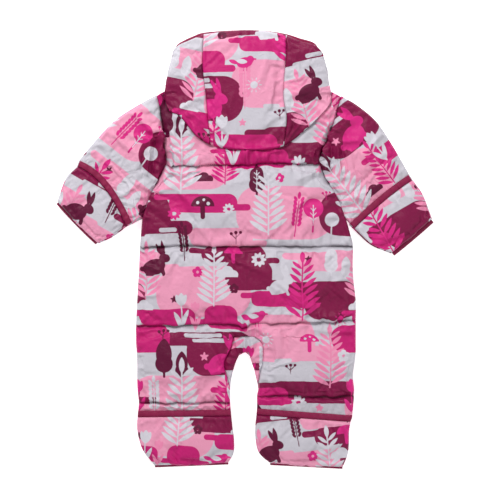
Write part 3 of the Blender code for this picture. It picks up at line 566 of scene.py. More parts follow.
def printed_polyester():
    """Printed plain-woven polyester: silky, its inks laid one over another, with painted shade darkening it
    in creases.
    """
    made, tree, shader = blank("printed_polyester_shell_painted_crease_shade")
    place = add(tree, "ShaderNodeTexCoord").outputs["Object"]
    colour = None
    for ink in INKS:
        away = add(tree, "ShaderNodeAttribute", attribute_name=ink)
        mask = add(tree, "ShaderNodeMapRange", {"Value": away.outputs["Fac"], "From Min": -EDGE_BLUR,
                                                "From Max": EDGE_BLUR, "To Min": 1.0, "To Max": 0.0})
        mix = add(tree, "ShaderNodeMix", {0: mask.outputs[0], 7: linear(COLOURS[ink])}, data_type="RGBA")
        if colour:
            tree.links.new(colour, mix.inputs[6])
        else:
            mix.inputs[6].default_value = linear(COLOURS["ground"])
        colour = mix.outputs[2]
    # painted shade: where the crease attribute is high, the print is multiplied towards a dark mauve as if
    # shaded
    painted_crease_shade = add(tree, "ShaderNodeAttribute", attribute_name="crease")
    amount = add(tree, "ShaderNodeMapRange", {"Value": painted_crease_shade.outputs["Fac"], "To Max": CREASE_SHADE})
    darker = add(tree, "ShaderNodeMix", {0: amount.outputs[0], 6: colour, 7: linear("#5a4452")},
                 data_type="RGBA", blend_type="MULTIPLY")
    tree.links.new(darker.outputs[2], shader.inputs["Base Color"])
    relief = woven_relief(tree, place, pitch=.0016, height=.0004, crinkle=.0024)
    tree.links.new(relief, shader.inputs["Normal"])
    shader.inputs["Roughness"].default_value = .42
    shader.inputs["Specular IOR Level"].default_value = .19
    return made


UNEVEN_DYE = .78         # how dark the darkest patches of dye are beside the rest


def dyed_cloth(name, code, rough, pitch, sheen=.0):
    """Cloth dyed one colour: the folds' own shading and a little uneven dye do the rest."""
    made, tree, shader = blank(name)
    place = add(tree, "ShaderNodeTexCoord").outputs["Object"]
    patches = add(tree, "ShaderNodeTexNoise", {"Vector": place, "Scale": 40.0, "Detail": 2.0})
    dark = (*[v * UNEVEN_DYE for v in linear(code)[:3]], 1.0)
    dye = add(tree, "ShaderNodeMix", {0: patches.outputs["Fac"], 6: linear(code), 7: dark}, data_type="RGBA")
    tree.links.new(dye.outputs[2], shader.inputs["Base Color"])
    tree.links.new(woven_relief(tree, place, pitch, height=.0005, crinkle=.0008), shader.inputs["Normal"])
    shader.inputs["Roughness"].default_value = rough
    shader.inputs["Specular IOR Level"].default_value = .25
    shader.inputs["Sheen Weight"].default_value = sheen
    return made


SHELL = printed_polyester()
BINDING = dyed_cloth("dyed_polyester_binding", "#8c1646", .55, .0016)
THREAD = dyed_cloth("spun_polyester_thread", "#8c2a56", .6, .0006)
# The quilting thread is real, but it is dyed dark plum so that, as painted shade, it deepens the shadow line
# of each quilting crease.
QUILTING_THREAD_DARK_AS_SHADE = dyed_cloth("plum_quilting_thread_dark_as_painted_shade", "#4c2039", .6, .0006)
TAPE = dyed_cloth("woven_zip_tape", "#cfc9d4", .7, .0012)
LINING = dyed_cloth("brushed_pink_lining", "#e79ab8", .85, .002, .4)
print("finishes:", [made.name for made in (SHELL, BINDING, THREAD, QUILTING_THREAD_DARK_AS_SHADE, TAPE, LINING)])

# %% [markdown]
# ## Floor, light and camera
# A garment is shown flat on a faintly glowing white table, under large soft lights, with the camera straight
# above it. The key light comes from beyond the hood and a little to one side, so folds throw a soft shade
# towards the feet.

# %% The light table, two soft lights and the camera
def plane(name, size, z):
    made = bpy.data.meshes.new(name)
    corners = [(-size, -size, z), (size, -size, z), (size, size, z), (-size, size, z)]
    made.from_pydata(corners, [], [(0, 1, 2, 3)])
    return made


def table_top():
    """Opal acrylic over a lamp: it glows a little, which keeps the shadows beside the suit faint."""
    made, tree, shader = blank("opal_acrylic")
    place = add(tree, "ShaderNodeTexCoord").outputs["Object"]
    fine = add(tree, "ShaderNodeTexNoise", {"Vector": place, "Scale": 300.0})
    lift = add(tree, "ShaderNodeBump", {"Strength": .05, "Distance": .0002, "Height": fine.outputs["Fac"]})
    tree.links.new(lift.outputs[0], shader.inputs["Normal"])
    shader.inputs["Base Color"].default_value = linear("#f7f7f7")
    shader.inputs["Roughness"].default_value = .7
    shader.inputs["Emission Color"].default_value = (1, 1, 1, 1)
    shader.inputs["Emission Strength"].default_value = .6
    return made


floor = bpy.data.objects.new("table", plane("table", 4, -.0002))
floor.data.materials.append(table_top())
bpy.context.scene.collection.objects.link(floor)
floor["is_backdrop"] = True


def soft_light(name, where, aim, size, watts):
    lamp = bpy.data.lights.new(name, "AREA")
    lamp.shape, lamp.size, lamp.energy = "DISK", size, watts
    held = bpy.data.objects.new(name, lamp)
    held.location = where
    held.rotation_euler = (Vector(aim) - Vector(where)).to_track_quat("-Z", "Y").to_euler()
    bpy.context.scene.collection.objects.link(held)


soft_light("key", (-.7, 1.8, 1.6), (0, 0, 0), .9, 43)
soft_light("fill", (1.4, -1.0, 2.2), (0, 0, 0), 1.8, 13)
world = bpy.data.worlds.new("studio")
world.use_nodes = True
world.node_tree.nodes["Background"].inputs[0].default_value = (1, 1, 1, 1)
world.node_tree.nodes["Background"].inputs[1].default_value = .56
bpy.context.scene.world = world
bpy.context.scene.view_settings.view_transform = "Standard"

camera = bpy.data.objects.new("camera", bpy.data.cameras.new("camera"))
camera.data.lens, camera.data.sensor_width = 100, 36
camera.location = (.00875, -.00175, 2.445)
bpy.context.scene.collection.objects.link(camera)
bpy.context.scene.camera = camera
seen = camera.data.sensor_width / camera.data.lens * camera.location.z
print("the camera takes in %.0f mm at the table" % (seen * 1000))

# %% [markdown]
# ## Where the padding is held down
# Padding rises from every seam like a quarter round and is full about 30 mm in. A line of quilting pulls it
# part of the way down again, deepest where it is sewn through both cloths. Large folds are laid over that one
# by one, each with its own place, length, height and width, because a garment never creases evenly.

# %% Distances, quilting lines and folds
def near(xy, line):
    """For each point, the least distance to a chain of straight pieces and how far along it that is."""
    flat = xy.reshape(-1, 2)
    line = np.asarray(line, float)
    run = lengths(line)
    best, where = np.full(len(flat), 1e9), np.zeros(len(flat))
    for k, (a, b) in enumerate(zip(line[:-1], line[1:])):
        step = b - a
        t = np.clip(((flat - a) @ step) / max(step @ step, 1e-9), 0, 1)
        off = flat - a - t[:, None] * step
        d = np.sqrt((off * off).sum(axis=1))
        closer = d < best
        best[closer], where[closer] = d[closer], (run[k] + t * (run[k + 1] - run[k]))[closer]
    return best.reshape(xy.shape[:-1]), where.reshape(xy.shape[:-1])


def distance(xy, line):
    return near(xy, line)[0]


def rise(t):
    """Quarter round: the square root of 1 - (1 - t)^2, 0 at the seam and 1 from t = 1 on."""
    return np.sqrt(1 - (1 - np.clip(t, 0, 1)) ** 2)


# columns: the line's points, how deep it presses (0 to 1), how far its valley reaches
QUILTING = [
    ([(-139, 147), (-70, 146), (0, 149), (60, 150), (131, 147)], .85, 30),
    ([(-184, 5), (0, 5), (189, 5)], .9, 32),
    ([(-191, -135), (0, -131)], .85, 26),
    ([(0, -131), (130, -127), (194, -124)], .75, 22),
    ([(-186, -268), (-26, -268)], .85, 22),
    ([(191, -257), (21, -257)], .8, 22),
    ([(-259, 178), (-231, 150), (-200, 116), (-170, 88)], .6, 24),
    ([(264, 166), (229, 142), (186, 98), (163, 80)], .65, 24),
]
BODY_QUILTING = [line for line, depth, reach in QUILTING[:6]]
SLEEVE_QUILTING = {"left": QUILTING[6][0], "right": QUILTING[7][0]}
# columns: x0, y0, x1, y1, height (less than 0 is a hollow), half width
FOLDS = np.array([
    (-62, 13, 125, 13, 2.5, 9), (-45, 166, 88, 166, -2, 8), (-104, 216, -66, 184, 3.4, 5),
    (-97, 225, -58, 195, -2.4, 4), (-90, 233, -50, 204, 3, 5), (-84, 244, -54, 220, -1.8, 4),
    (-58, 206, -32, 184, 3, 5), (-50, 214, -24, 190, -2, 4), (-112, 243, -84, 262, 2.5, 8),
    (70, 190, 86, 214, -2.8, 5), (84, 200, 98, 222, 2.4, 5), (76, 232, 112, 250, 2, 6),
    (24, 290, 38, 330, 2, 6), (34, 282, 46, 318, -1.6, 4), (44, 250, 50, 292, 2, 5),
    (-30, 232, -20, 268, 1.6, 5), (-100, 300, -84, 340, 1.8, 7), (96, 300, 86, 340, 1.8, 7),
    (-96, 190, -50, 168, 2.2, 6), (-50, 168, 30, 161, 2.4, 5), (30, 161, 92, 186, 2.2, 6),
    (-128, 168, -96, 178, 3, 5), (-130, 157, -110, 152, -3, 4), (-128, 138, -98, 126, 3.4, 5),
    (-126, 128, -100, 108, -2.4, 4), (-112, 96, -84, 70, 2, 7), (122, 135, 92, 118, 3.4, 5),
    (120, 124, 96, 104, -2.4, 4), (120, 160, 86, 172, 3, 5), (118, 151, 100, 149, -2.8, 4),
    (110, 90, 80, 62, 2, 7), (-133, 174, -131, 134, 4.6, 3), (-127, 170, -125, 142, -3.6, 3),
    (-150, 196, -148, 138, 7.5, 3.6), (-158, 192, -159, 130, -6, 3.2), (-166, 184, -170, 130, 6, 4),
    (-174, 174, -181, 138, -4, 4), (-150, 128, -166, 104, 4.6, 4), (-146, 222, -168, 206, 3.6, 4),
    (-150, 240, -172, 240, 2.2, 5), (-141, 163, -140, 141, -7, 5), (131, 161, 131, 141, -7, 5),
    (-160, 205, -182, 226, 3, 6), (-158, 190, -196, 196, 2.4, 5), (-176, 118, -206, 100, 2.8, 6),
    (-200, 172, -226, 196, 2.2, 7), (124, 172, 122, 142, 3.8, 3), (141, 190, 142, 136, 7, 3.6),
    (150, 186, 153, 130, -6, 3.2), (160, 180, 168, 126, 6, 4), (169, 170, 179, 132, -4, 4),
    (142, 122, 160, 102, 4.6, 4), (150, 214, 170, 200, 3.6, 4), (152, 198, 178, 222, 3, 6),
    (156, 186, 196, 188, 2.4, 5), (170, 108, 200, 88, 2.8, 6), (210, 168, 232, 196, 2.2, 7),
    (130, -118, 188, -112, 2.6, 6), (120, -140, 180, -143, 2.2, 5), (60, -60, 110, -100, 1.6, 10),
    (-150, -60, -120, -20, 1.6, 10), (164, -34, 186, -24, 2.6, 5), (158, -56, 184, -50, 2.4, 5),
    (-176, -28, -150, -36, 2.2, 6), (-178, -84, -150, -78, 2, 6), (-60, -170, -40, -205, 2.6, 6),
    (-48, -236, -70, -258, 2.4, 6), (-46, -214, -84, -222, 2, 6), (44, -232, 58, -252, 2.4, 6),
    (46, -206, 84, -196, 2.2, 6), (-20, -20, 40, -44, 1.6, 10), (-110, 60, -60, 84, 1.6, 10),
    (40, 96, 96, 76, 1.6, 9), (-140, -180, -104, -214, 1.6, 9), (120, -186, 150, -220, 1.6, 9),
    (-30, 110, 26, 122, 1.5, 8),
], float)


def folds_at(xy, table=FOLDS):
    """The listed folds: each adds height * e^-(distance / half width)^1.4, a nearly sharp crest."""
    total = np.zeros(xy.shape[:-1])
    for x0, y0, x1, y1, high, half in table:
        total += high * np.exp(-(distance(xy, [(x0, y0), (x1, y1)]) / half) ** 1.4)
    return total


def padding(xy, edges, crown, quilting=QUILTING):
    """Padding over its seams: crown * the least quarter round of its edges and quilting, plus folds."""
    free = np.ones(xy.shape[:-1])
    for line in edges:
        free = np.minimum(free, rise(distance(xy, line) / ROUNDING))
    full = free.copy()
    for line, depth, reach in quilting:
        full = np.minimum(full, 1 - depth * (1 - rise(distance(xy, line) / reach)))
    return crown * full + folds_at(xy) * free


def gathers(xy, line, seed, high, every, reach):
    """Small ridges square off a stitched line: high * ripple(s) * t * e^((1 - t^2) / 2), with s the distance
    along the line and t that from it over the reach. The ripple's turns are unevenly spaced and sized."""
    d, s = near(xy, line)
    chance = np.random.default_rng(seed)
    count = int(lengths(np.asarray(line, float))[-1] / every * 1.4) + 6
    knots = np.cumsum(chance.uniform(.45, 1.3, count)) * every - every
    sizes = chance.uniform(.25, 1, count) * np.where(np.arange(count) % 2, -.7, 1)
    far = reach * np.interp(s, knots[::2], chance.uniform(.6, 2.0, len(knots[::2])))
    place = np.clip(np.searchsorted(knots, s) - 1, 0, count - 2)
    f = np.clip((s - knots[place]) / (knots[place + 1] - knots[place]), 0, 1)
    f = f * f * (3 - 2 * f)
    ripple = sizes[place] * (1 - f) + sizes[place + 1] * f
    t = d / far
    return high * ripple * t * np.exp((1 - t * t) / 2)


def with_z(xy, z):
    return np.concatenate([xy, np.broadcast_to(z, xy.shape[:-1])[..., None]], axis=-1)


ROUND_OFF = 13.0         # how far the bottom layer takes to come down from a folded edge to the table


def underside(xy, folded_edges):
    """A bottom layer: level at the table, rising as a quarter round to its folded side edges."""
    lowest = np.min([distance(xy, line) for line in folded_edges], axis=0)
    return with_z(xy, (MEET_Z - SEAM_HIGH) * (1 - rise(lowest / ROUND_OFF)))


print("quilting lines:", len(QUILTING), "folds:", len(FOLDS))

# %% [markdown]
# ## Closed walls of cloth
# Cloth has two sides, so every piece is a closed wall: the face that shows, the edge that a seam presses flat
# and a plain inside. They are arrays of points and of corner numbers, because a garment has far too many
# points to place one at a time. Each piece keeps the place it was cut from, so that the print follows it.

# %% Mesh helpers
def numbers(rows, columns, start=0):
    return start + np.arange(rows * columns).reshape(rows, columns)


def faces_of(number, close=False):
    """Four corner numbers for each cell of a grid of numbers; close joins the last column to the first."""
    if close:
        number = np.hstack([number, number[:, :1]])
    corners = [number[:-1, :-1], number[1:, :-1], number[1:, 1:], number[:-1, 1:]]
    return np.stack(corners, axis=-1).reshape(-1, 4)


def rim_of(number):
    """The numbers round a grid's border, in order."""
    return np.concatenate([number[0], number[1:, -1], number[-1, -2::-1], number[-2:0:-1, 0]])


def store(mesh, name, values):
    """Keep one number for each point of a mesh, where a finish can read it."""
    mesh.attributes.new(name, "FLOAT", "POINT").data.foreach_set("value", values.astype(np.float32))


def build(name, points, smooth, flat, finish, cut=None, node=None, inside=None):
    """Put points in millimetres and faces into one mesh in metres with its faces outward, store the ink
    distances of its printed cloth, and let it ride on the garment and stand for its solid."""
    faces = [*smooth.tolist(), *[list(map(int, face)) for face in flat]]
    mesh = bpy.data.meshes.new(name)
    mesh.from_pydata((points * .001).tolist(), [], faces)
    mesh.polygons.foreach_set("use_smooth", np.arange(len(faces)) < len(smooth))
    shape = bmesh.new()
    shape.from_mesh(mesh)
    bmesh.ops.recalc_face_normals(shape, faces=shape.faces[:])
    shape.to_mesh(mesh)
    shape.free()
    mesh.materials.append(finish)
    if inside:
        mesh.materials.append(inside)
        within = np.arange(len(faces)) >= len(smooth)
        mesh.polygons.foreach_set("material_index", within.astype(np.int32))
    if cut is not None:
        for ink, found in zip(INKS, ink_distances(cut)):
            store(mesh, ink, found)
    piece = bpy.data.objects.new(name, mesh)
    bpy.context.scene.collection.objects.link(piece)
    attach(piece, "garment")
    if node:
        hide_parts(node)
    print(name, len(points), "points")
    return piece


def layer(name, points, smooth, rim, inner_z, finish, cut, node, inside_finish=None):
    """A padded layer: its outer face, a wall straight down or up from its rim, and a level inside."""
    inside = points[rim].copy()
    inside[:, 2] = inner_z
    low = len(points) + np.arange(len(rim))
    wall = faces_of(np.stack([np.append(rim, rim[0]), np.append(low, low[0])]))
    return build(name, np.concatenate([points, inside]), smooth, [*wall, low], finish,
                 np.concatenate([cut, cut[rim]]), node, inside_finish)


def shell(name, outer, inner, finish, cut=None, node=None, tube=False, inside=None):
    """A closed wall between two grids: joined round their borders, or for a tube at its two open ends."""
    a = numbers(*outer.shape[:2])
    b = numbers(*inner.shape[:2], a.size)
    points = np.concatenate([outer.reshape(-1, 3), inner.reshape(-1, 3)])
    if tube:
        edges = [faces_of(np.stack([a[k], b[k]]), close=True) for k in (0, -1)]
    else:
        one, two = rim_of(a), rim_of(b)
        edges = [faces_of(np.stack([np.append(one, one[0]), np.append(two, two[0])]))]
    smooth = faces_of(a, close=tube)
    flat = [*faces_of(b, close=tube), *np.concatenate(edges)]
    return build(name, points, smooth, flat, finish, cut, node, inside)


def drawn_in(grid, amount):
    """Each row of a grid with its two ends moved towards its middle."""
    result = grid.copy()
    for end, next_to in ((0, 1), (-1, -2)):
        step = grid[:, next_to] - grid[:, end]
        step /= np.maximum(np.linalg.norm(step, axis=1), 1e-6)[:, None]
        result[:, end] = grid[:, end] + amount * step
    return result


def ends_in(grid, amount):
    """A grid with its first and last rows moved towards their neighbours."""
    return drawn_in(grid.swapaxes(0, 1), amount).swapaxes(0, 1)


def trimmed(grid):
    """A grid with its border moved in by half the seam's gap."""
    return ends_in(drawn_in(grid, GAP / 2), GAP / 2)


print("points of a face that shows are about %.1f mm apart" % STEP)

# %% [markdown]
# ## The back
# The back is one cut piece from the neck to both feet, quilted across the chest, waist, hips and shins. Each
# half is a grid that runs down its cross lines, and the two share their points down the middle, above the
# crotch. The rows fall exactly on the quilting lines, so the stitching can follow them later.

# %% The back's face
# how high the padding stands over its seams: body, sleeves, hood, gusset and where a cover lies on it
BACK_CROWN, SLEEVE_CROWN, HOOD_CROWN, GUSSET_CROWN, COVERED_CROWN = 10.5, 9.5, 13, 7, 3
SEAM_TOP = MEET_Z + SEAM_HIGH
KEY_ROWS = [0, 6, 8, 9, 12, 14, 17, 18, 19, 20, 24, 25, 26, 30]
ROWS = even_rows(lambda rows: edge_of("left", OUTER, rows), lambda rows: edge_of("left", BACK, rows),
                 KEY_ROWS, STEP)
ACROSS = np.linspace(0, 1, 109)


def row_at(key):
    return int(np.argmin(np.abs(ROWS - key)))


def back_half(side):
    outer, inner = edge_of(side, OUTER, ROWS), edge_of(side, BACK, ROWS)
    xy = between(outer, inner, ACROSS)
    edges = [outer[::2], inner[:row_at(8) + 1], inner[row_at(18):], xy[-1, [0, -1]]]
    crown = np.interp(ROWS, [24, 25], [BACK_CROWN, COVERED_CROWN])[:, None]
    return with_z(xy, SEAM_TOP + padding(xy, edges, crown))


FACE = {"back_" + side: back_half(side) for side in BODY}
print("rows down the back:", len(ROWS), "columns a side:", len(ACROSS))

# %% [markdown]
# ## The gusset
# An arch-shaped piece lets the legs open. It is sewn up the left inner leg, over the crotch and down the
# right leg, and its lower edge folds under. Its grid uses the back's own rows, so the seam's points match.

# %% The gusset's face
# columns as for the folds of the body
PLEATS = np.array([
    (-25, -157, -15, -178, -4, 3), (-18, -155, -12, -183, 3.4, 3), (-8, -154, -6, -182, -3.2, 2.6),
    (-1, -154, 0, -181, 3, 3), (7, -155, 6, -182, -3, 2.6), (14, -158, 10, -186, 3, 3.2),
    (24, -166, 14, -182, -3, 3), (-33, -186, -16, -192, -2.6, 3.5), (-34, -196, -20, -203, 2.6, 3.5),
    (29, -178, 13, -192, 2.6, 3.5), (30, -200, 16, -206, -2.4, 3.5),
], float)


def gusset_face():
    """Two limbs from the crotch down the inner legs, puffed and pleated between the seam and the fold."""
    rows = ROWS[(ROWS >= 18) & (ROWS <= 22.5)]
    limbs = []
    for side, first in (("left", 0), ("right", 2)):
        fold = spline(GUSSET_FOLD[:, first:first + 2], rows - 18)
        limbs.append(between(edge_of(side, BACK, rows), fold, np.linspace(0, 1, 19)))
    xy = np.concatenate([limbs[0][:0:-1], limbs[1]])
    free = np.minimum(distance(xy, xy[:, 0]), distance(xy, xy[:, -1]))
    puffed = GUSSET_CROWN * rise(free / ROUNDING)
    return with_z(xy, SEAM_TOP + puffed + folds_at(xy, PLEATS) * rise(free / 8))


FACE["gusset"] = gusset_face()
print("gusset grid", FACE["gusset"].shape)

# %% [markdown]
# ## Sleeves with fold-over hand covers
# A sleeve is a tube laid flat: a padded top, a fold at each side and a bottom that rests on the table. A
# cover for the hand is sewn on behind a wide binding and turned back over the cuff, so the sleeve is thin
# beneath it. The grids run from the armhole to the cuff, and stations 4 to 6 carry the binding.

# %% The sleeves' faces
BINDING_WIDE = 11.6


def sleeve_curves(side):
    """Curves across a sleeve that share the armhole's points: a parabola through top, middle and underarm,
    top (2 u - 1) (u - 1) + middle 4 u (1 - u) + underarm u (2 u - 1)."""
    armhole = edge_of(side, OUTER, ROWS[ROWS <= 12])
    u = share(armhole)[:, None]
    curves = [armhole]
    for row in SLEEVE[side]:
        top, middle, under = row.reshape(3, 2)
        curves.append(top * (2 * u - 1) * (u - 1) + middle * 4 * u * (1 - u) + under * u * (2 * u - 1))
    half = BINDING_WIDE / 2 if side == "left" else -BINDING_WIDE / 2
    binding = curves[4]
    curves[4:5] = [shifted(binding, half), binding, shifted(binding, -half)]
    return np.array(curves)


def sleeve_face(side):
    curves = sleeve_curves(side)
    middle = curves.shape[1] // 2
    turns = (4, 6)
    stations = even_rows(lambda s: spline(curves[:, middle], s, turns),
                         lambda s: spline(curves[:, 0], s, turns), [0, 3, 4, 6, 8], STEP)
    xy = spline(curves, stations, turns)
    crown = np.interp(stations, [3, 4], [SLEEVE_CROWN, COVERED_CROWN])[:, None]
    edges = [xy[0], xy[-1], xy[:, 0], xy[:, -1]]
    return stations, with_z(xy, SEAM_TOP + padding(xy, edges, crown))


STATIONS = {}
for side in BODY:
    STATIONS[side], FACE["sleeve_" + side] = sleeve_face(side)
print("sleeve grids", [FACE["sleeve_" + side].shape for side in BODY])

# %% [markdown]
# ## The hood
# Three panels make the hood: a strip over the crown of the head and two sides. Each side turns under at the
# hood's edge and comes back to the face opening, which a binding draws in. The strip and the upper sides are
# patches between four seams, and a Coons patch fills them without a crease.

# %% The hood's faces
HOOD_ROWS = np.linspace(0, 1, 121)


def hood_faces():
    """The strip and the two upper sides; a strip's seam presses them 0.4 of the way down, over 16 mm."""
    strip = {side: along(HOOD_STRIP[side], HOOD_ROWS) for side in BODY}
    neck = np.concatenate([edge_of("left", BACK, np.linspace(6, 8, 43)),
                           edge_of("right", BACK, np.linspace(8, 6, 43))[1:]])
    brim = along(BRIM["middle"], share(neck))
    xy = coons(neck, brim, strip["left"], strip["right"])
    high = padding(xy, [neck, brim], HOOD_CROWN, [(strip[side], .4, 16) for side in BODY])
    FACE["hood_centre"] = with_z(xy, SEAM_TOP + high)
    for side in BODY:
        start = edge_of(side, BACK, np.linspace(6, 0, 73))
        brim = along(BRIM[side], share(start))
        fold = along(HOOD_SIDE[side], HOOD_ROWS)
        xy = coons(start, brim, strip[side], fold)
        high = padding(xy, [start, brim, fold], HOOD_CROWN, [(strip[side], .4, 16)])
        FACE["hood_" + side] = with_z(xy, SEAM_TOP + high)


hood_faces()
print("hood grids", [FACE["hood_" + part].shape for part in ("centre", "left", "right")])

# %% [markdown]
# ## Covers folded back over the shins
# The foot covers match the hand covers: behind a wide binding, each lies on the leg and is a little thinner
# than the suit. A cover's inside is the leg's own face moved out by a fraction of a millimetre.

# %% The covers' faces
COVER_THICK, COVER_CROWN = 2.6, 4.0      # a cover's thickness at its rim, and how much its middle adds
COVER_ROUNDING = {"foot": 18, "hand": 16}


def under_cover(name):
    """The stretch of the leg or sleeve on which a cover lies."""
    kind, side = name.split("_")
    if kind == "foot":
        return FACE["back_" + side][row_at(26):]
    return FACE["sleeve_" + side][STATIONS[side] >= 5.999]


def cover_inside(under):
    """A cover's inside: the face under it, drawn in at its rim and moved up by the seam's gap."""
    inner = ends_in(drawn_in(under, GAP / 2), GAP)
    inner[..., 2] += GAP
    return inner


def cover_face(inner, rounding):
    """A cover's outside: its inside moved up by a thickness and by a crown that rises from its edges."""
    xy = inner[..., :2]
    edges = (xy[0], xy[-1], xy[:, 0], xy[:, -1])
    outer = inner.copy()
    lift = np.min([rise(distance(xy, line) / rounding) for line in edges], axis=0)
    outer[..., 2] += COVER_THICK + COVER_CROWN * lift
    return outer


COVER_INSIDE = {}
for side in BODY:
    for kind, rounding in COVER_ROUNDING.items():
        name = kind + "_" + side
        COVER_INSIDE[name] = cover_inside(under_cover(name))
        FACE[name] = cover_face(COVER_INSIDE[name], rounding)
print("cover grids", [(name, grid.shape) for name, grid in COVER_INSIDE.items()])

# %% [markdown]
# ## The flat cloth
# The cloth was printed and cut while it was flat, so every point's place in the pattern is kept now, before
# anything puffs up or folds. The print, the puckers and the sizes of the strips are all read from it.

# %% Where each point was cut from
CUT_FROM = {name: grid[..., :2].copy() for name, grid in FACE.items()}
print("points kept:", sum(grid[..., 0].size for grid in CUT_FROM.values()))

# %% [markdown]
# ## Blowing the cloth up between its stitches
# Quilted cloth is cut a little larger than the space between its seams, so it buckles into puckers that no
# table could list. A cloth simulation finds them: every third point of each face goes into one light mesh,
# which is held along its seams and quilting, grows by a few percent and is blown outwards. How far its points
# moved is then read back and spread over the fine grids with the same smooth curves as the cut.

# %% The held points and the simulation
GROWTH = .045            # how much larger the cloth grows between its seams
PUFF_FRAMES = 16
MOST_SIDEWAYS, MOST_UP = 2.6, 4.4        # the moves level off at these distances
LOWEST = MEET_Z + 1.5    # no point of a face that shows sinks below this


def held_points(name, grid):
    """Which of a face's points are sewn down or covered: its border, its quilting and what a cover hides."""
    held = np.zeros(grid.shape[:2], bool)
    held[[0, -1]] = held[:, [0, -1]] = True
    if name.startswith("back"):
        held[row_at(8) // 3 + 1:row_at(18) // 3, -1] = False
        held[[row_at(key) // 3 for key in (9, 14, 17, 24)]] = True
        held[row_at(25) // 3:] = True
    if name.startswith("sleeve"):
        side = name.split("_")[1]
        held |= distance(grid[..., :2], SLEEVE_QUILTING[side]) < 2.7
        held[STATIONS[side][::3] > 3.99] = True
    return held


def simulated(points, faces, held):
    """Where the points end up once the cloth has grown and been blown outwards, in millimetres."""
    mesh = bpy.data.meshes.new("puff")
    mesh.from_pydata((points * .001).tolist(), [], faces.tolist())
    cloth = bpy.data.objects.new("puff", mesh)
    bpy.context.scene.collection.objects.link(cloth)
    cloth.vertex_groups.new(name="held").add(np.flatnonzero(held).tolist(), 1.0, "REPLACE")
    puff = cloth.modifiers.new("puff", "CLOTH")
    rules = puff.settings
    rules.quality, rules.mass, rules.air_damping = 4, .15, 4
    rules.tension_stiffness = rules.compression_stiffness = 14
    rules.shear_stiffness, rules.bending_stiffness = 8, .03
    rules.effector_weights.gravity = 0
    rules.use_pressure, rules.uniform_pressure_force = True, 1.5
    rules.shrink_min = rules.shrink_max = -GROWTH
    rules.vertex_group_mass = "held"
    puff.collision_settings.use_collision = False
    for moment in range(1, PUFF_FRAMES + 1):
        bpy.context.scene.frame_set(moment)
    shown = cloth.evaluated_get(bpy.context.evaluated_depsgraph_get()).data
    moved = np.empty(len(points) * 3, np.float32)
    shown.vertices.foreach_get("co", moved)
    bpy.data.objects.remove(cloth, do_unlink=True)
    bpy.context.scene.frame_set(1)
    return moved.reshape(-1, 3) * 1000.0


def spread(coarse, rows, columns):
    """A grid's moves at every third point, read at every point along both of its directions."""
    half_way = spline(coarse, np.arange(rows) / 3)
    return spline(half_way.swapaxes(0, 1), np.arange(columns) / 3).swapaxes(0, 1)


def puff_up():
    """Simulate every third point of the faces and spread their moves, each eased off by a tanh, over all."""
    names = [name for name in FACE if name != "gusset"]
    coarse = {name: FACE[name][::3, ::3] for name in names}
    starts = np.cumsum([0] + [coarse[name][..., 0].size for name in names])
    points = np.concatenate([coarse[name].reshape(-1, 3) for name in names])
    cells = [faces_of(numbers(*coarse[name].shape[:2], start)) for name, start in zip(names, starts)]
    faces = np.concatenate(cells)
    a, b, c = (points[faces[:, k], :2] for k in (0, 1, 3))
    faces = np.where((np.cross(b - a, c - a) < 0)[:, None], faces[:, ::-1], faces)
    held = np.concatenate([held_points(name, coarse[name]).ravel() for name in names])
    rounded = np.round(points, 2) + 0.0
    _, first, place = np.unique(rounded, axis=0, return_index=True, return_inverse=True)
    place = place.ravel()
    moved = simulated(points[first], place[faces], held[first])
    moves = (moved - points[first])[place]
    print("moved up by %.1f mm on average and %.1f mm at most" % (moves[:, 2].mean(), moves[:, 2].max()))
    flat = np.maximum(np.hypot(moves[:, 0], moves[:, 1]), 1e-6)[:, None]
    moves[:, :2] *= MOST_SIDEWAYS * np.tanh(flat / MOST_SIDEWAYS) / flat
    moves[:, 2] = MOST_UP * np.tanh(moves[:, 2] / MOST_UP)
    for name, start in zip(names, starts):
        rows, columns = coarse[name].shape[:2]
        grid = moves[start:start + rows * columns].reshape(rows, columns, 3)
        FACE[name] = FACE[name] + spread(grid, *FACE[name].shape[:2])
        FACE[name][..., 2] = np.maximum(FACE[name][..., 2], LOWEST)



puff_up()
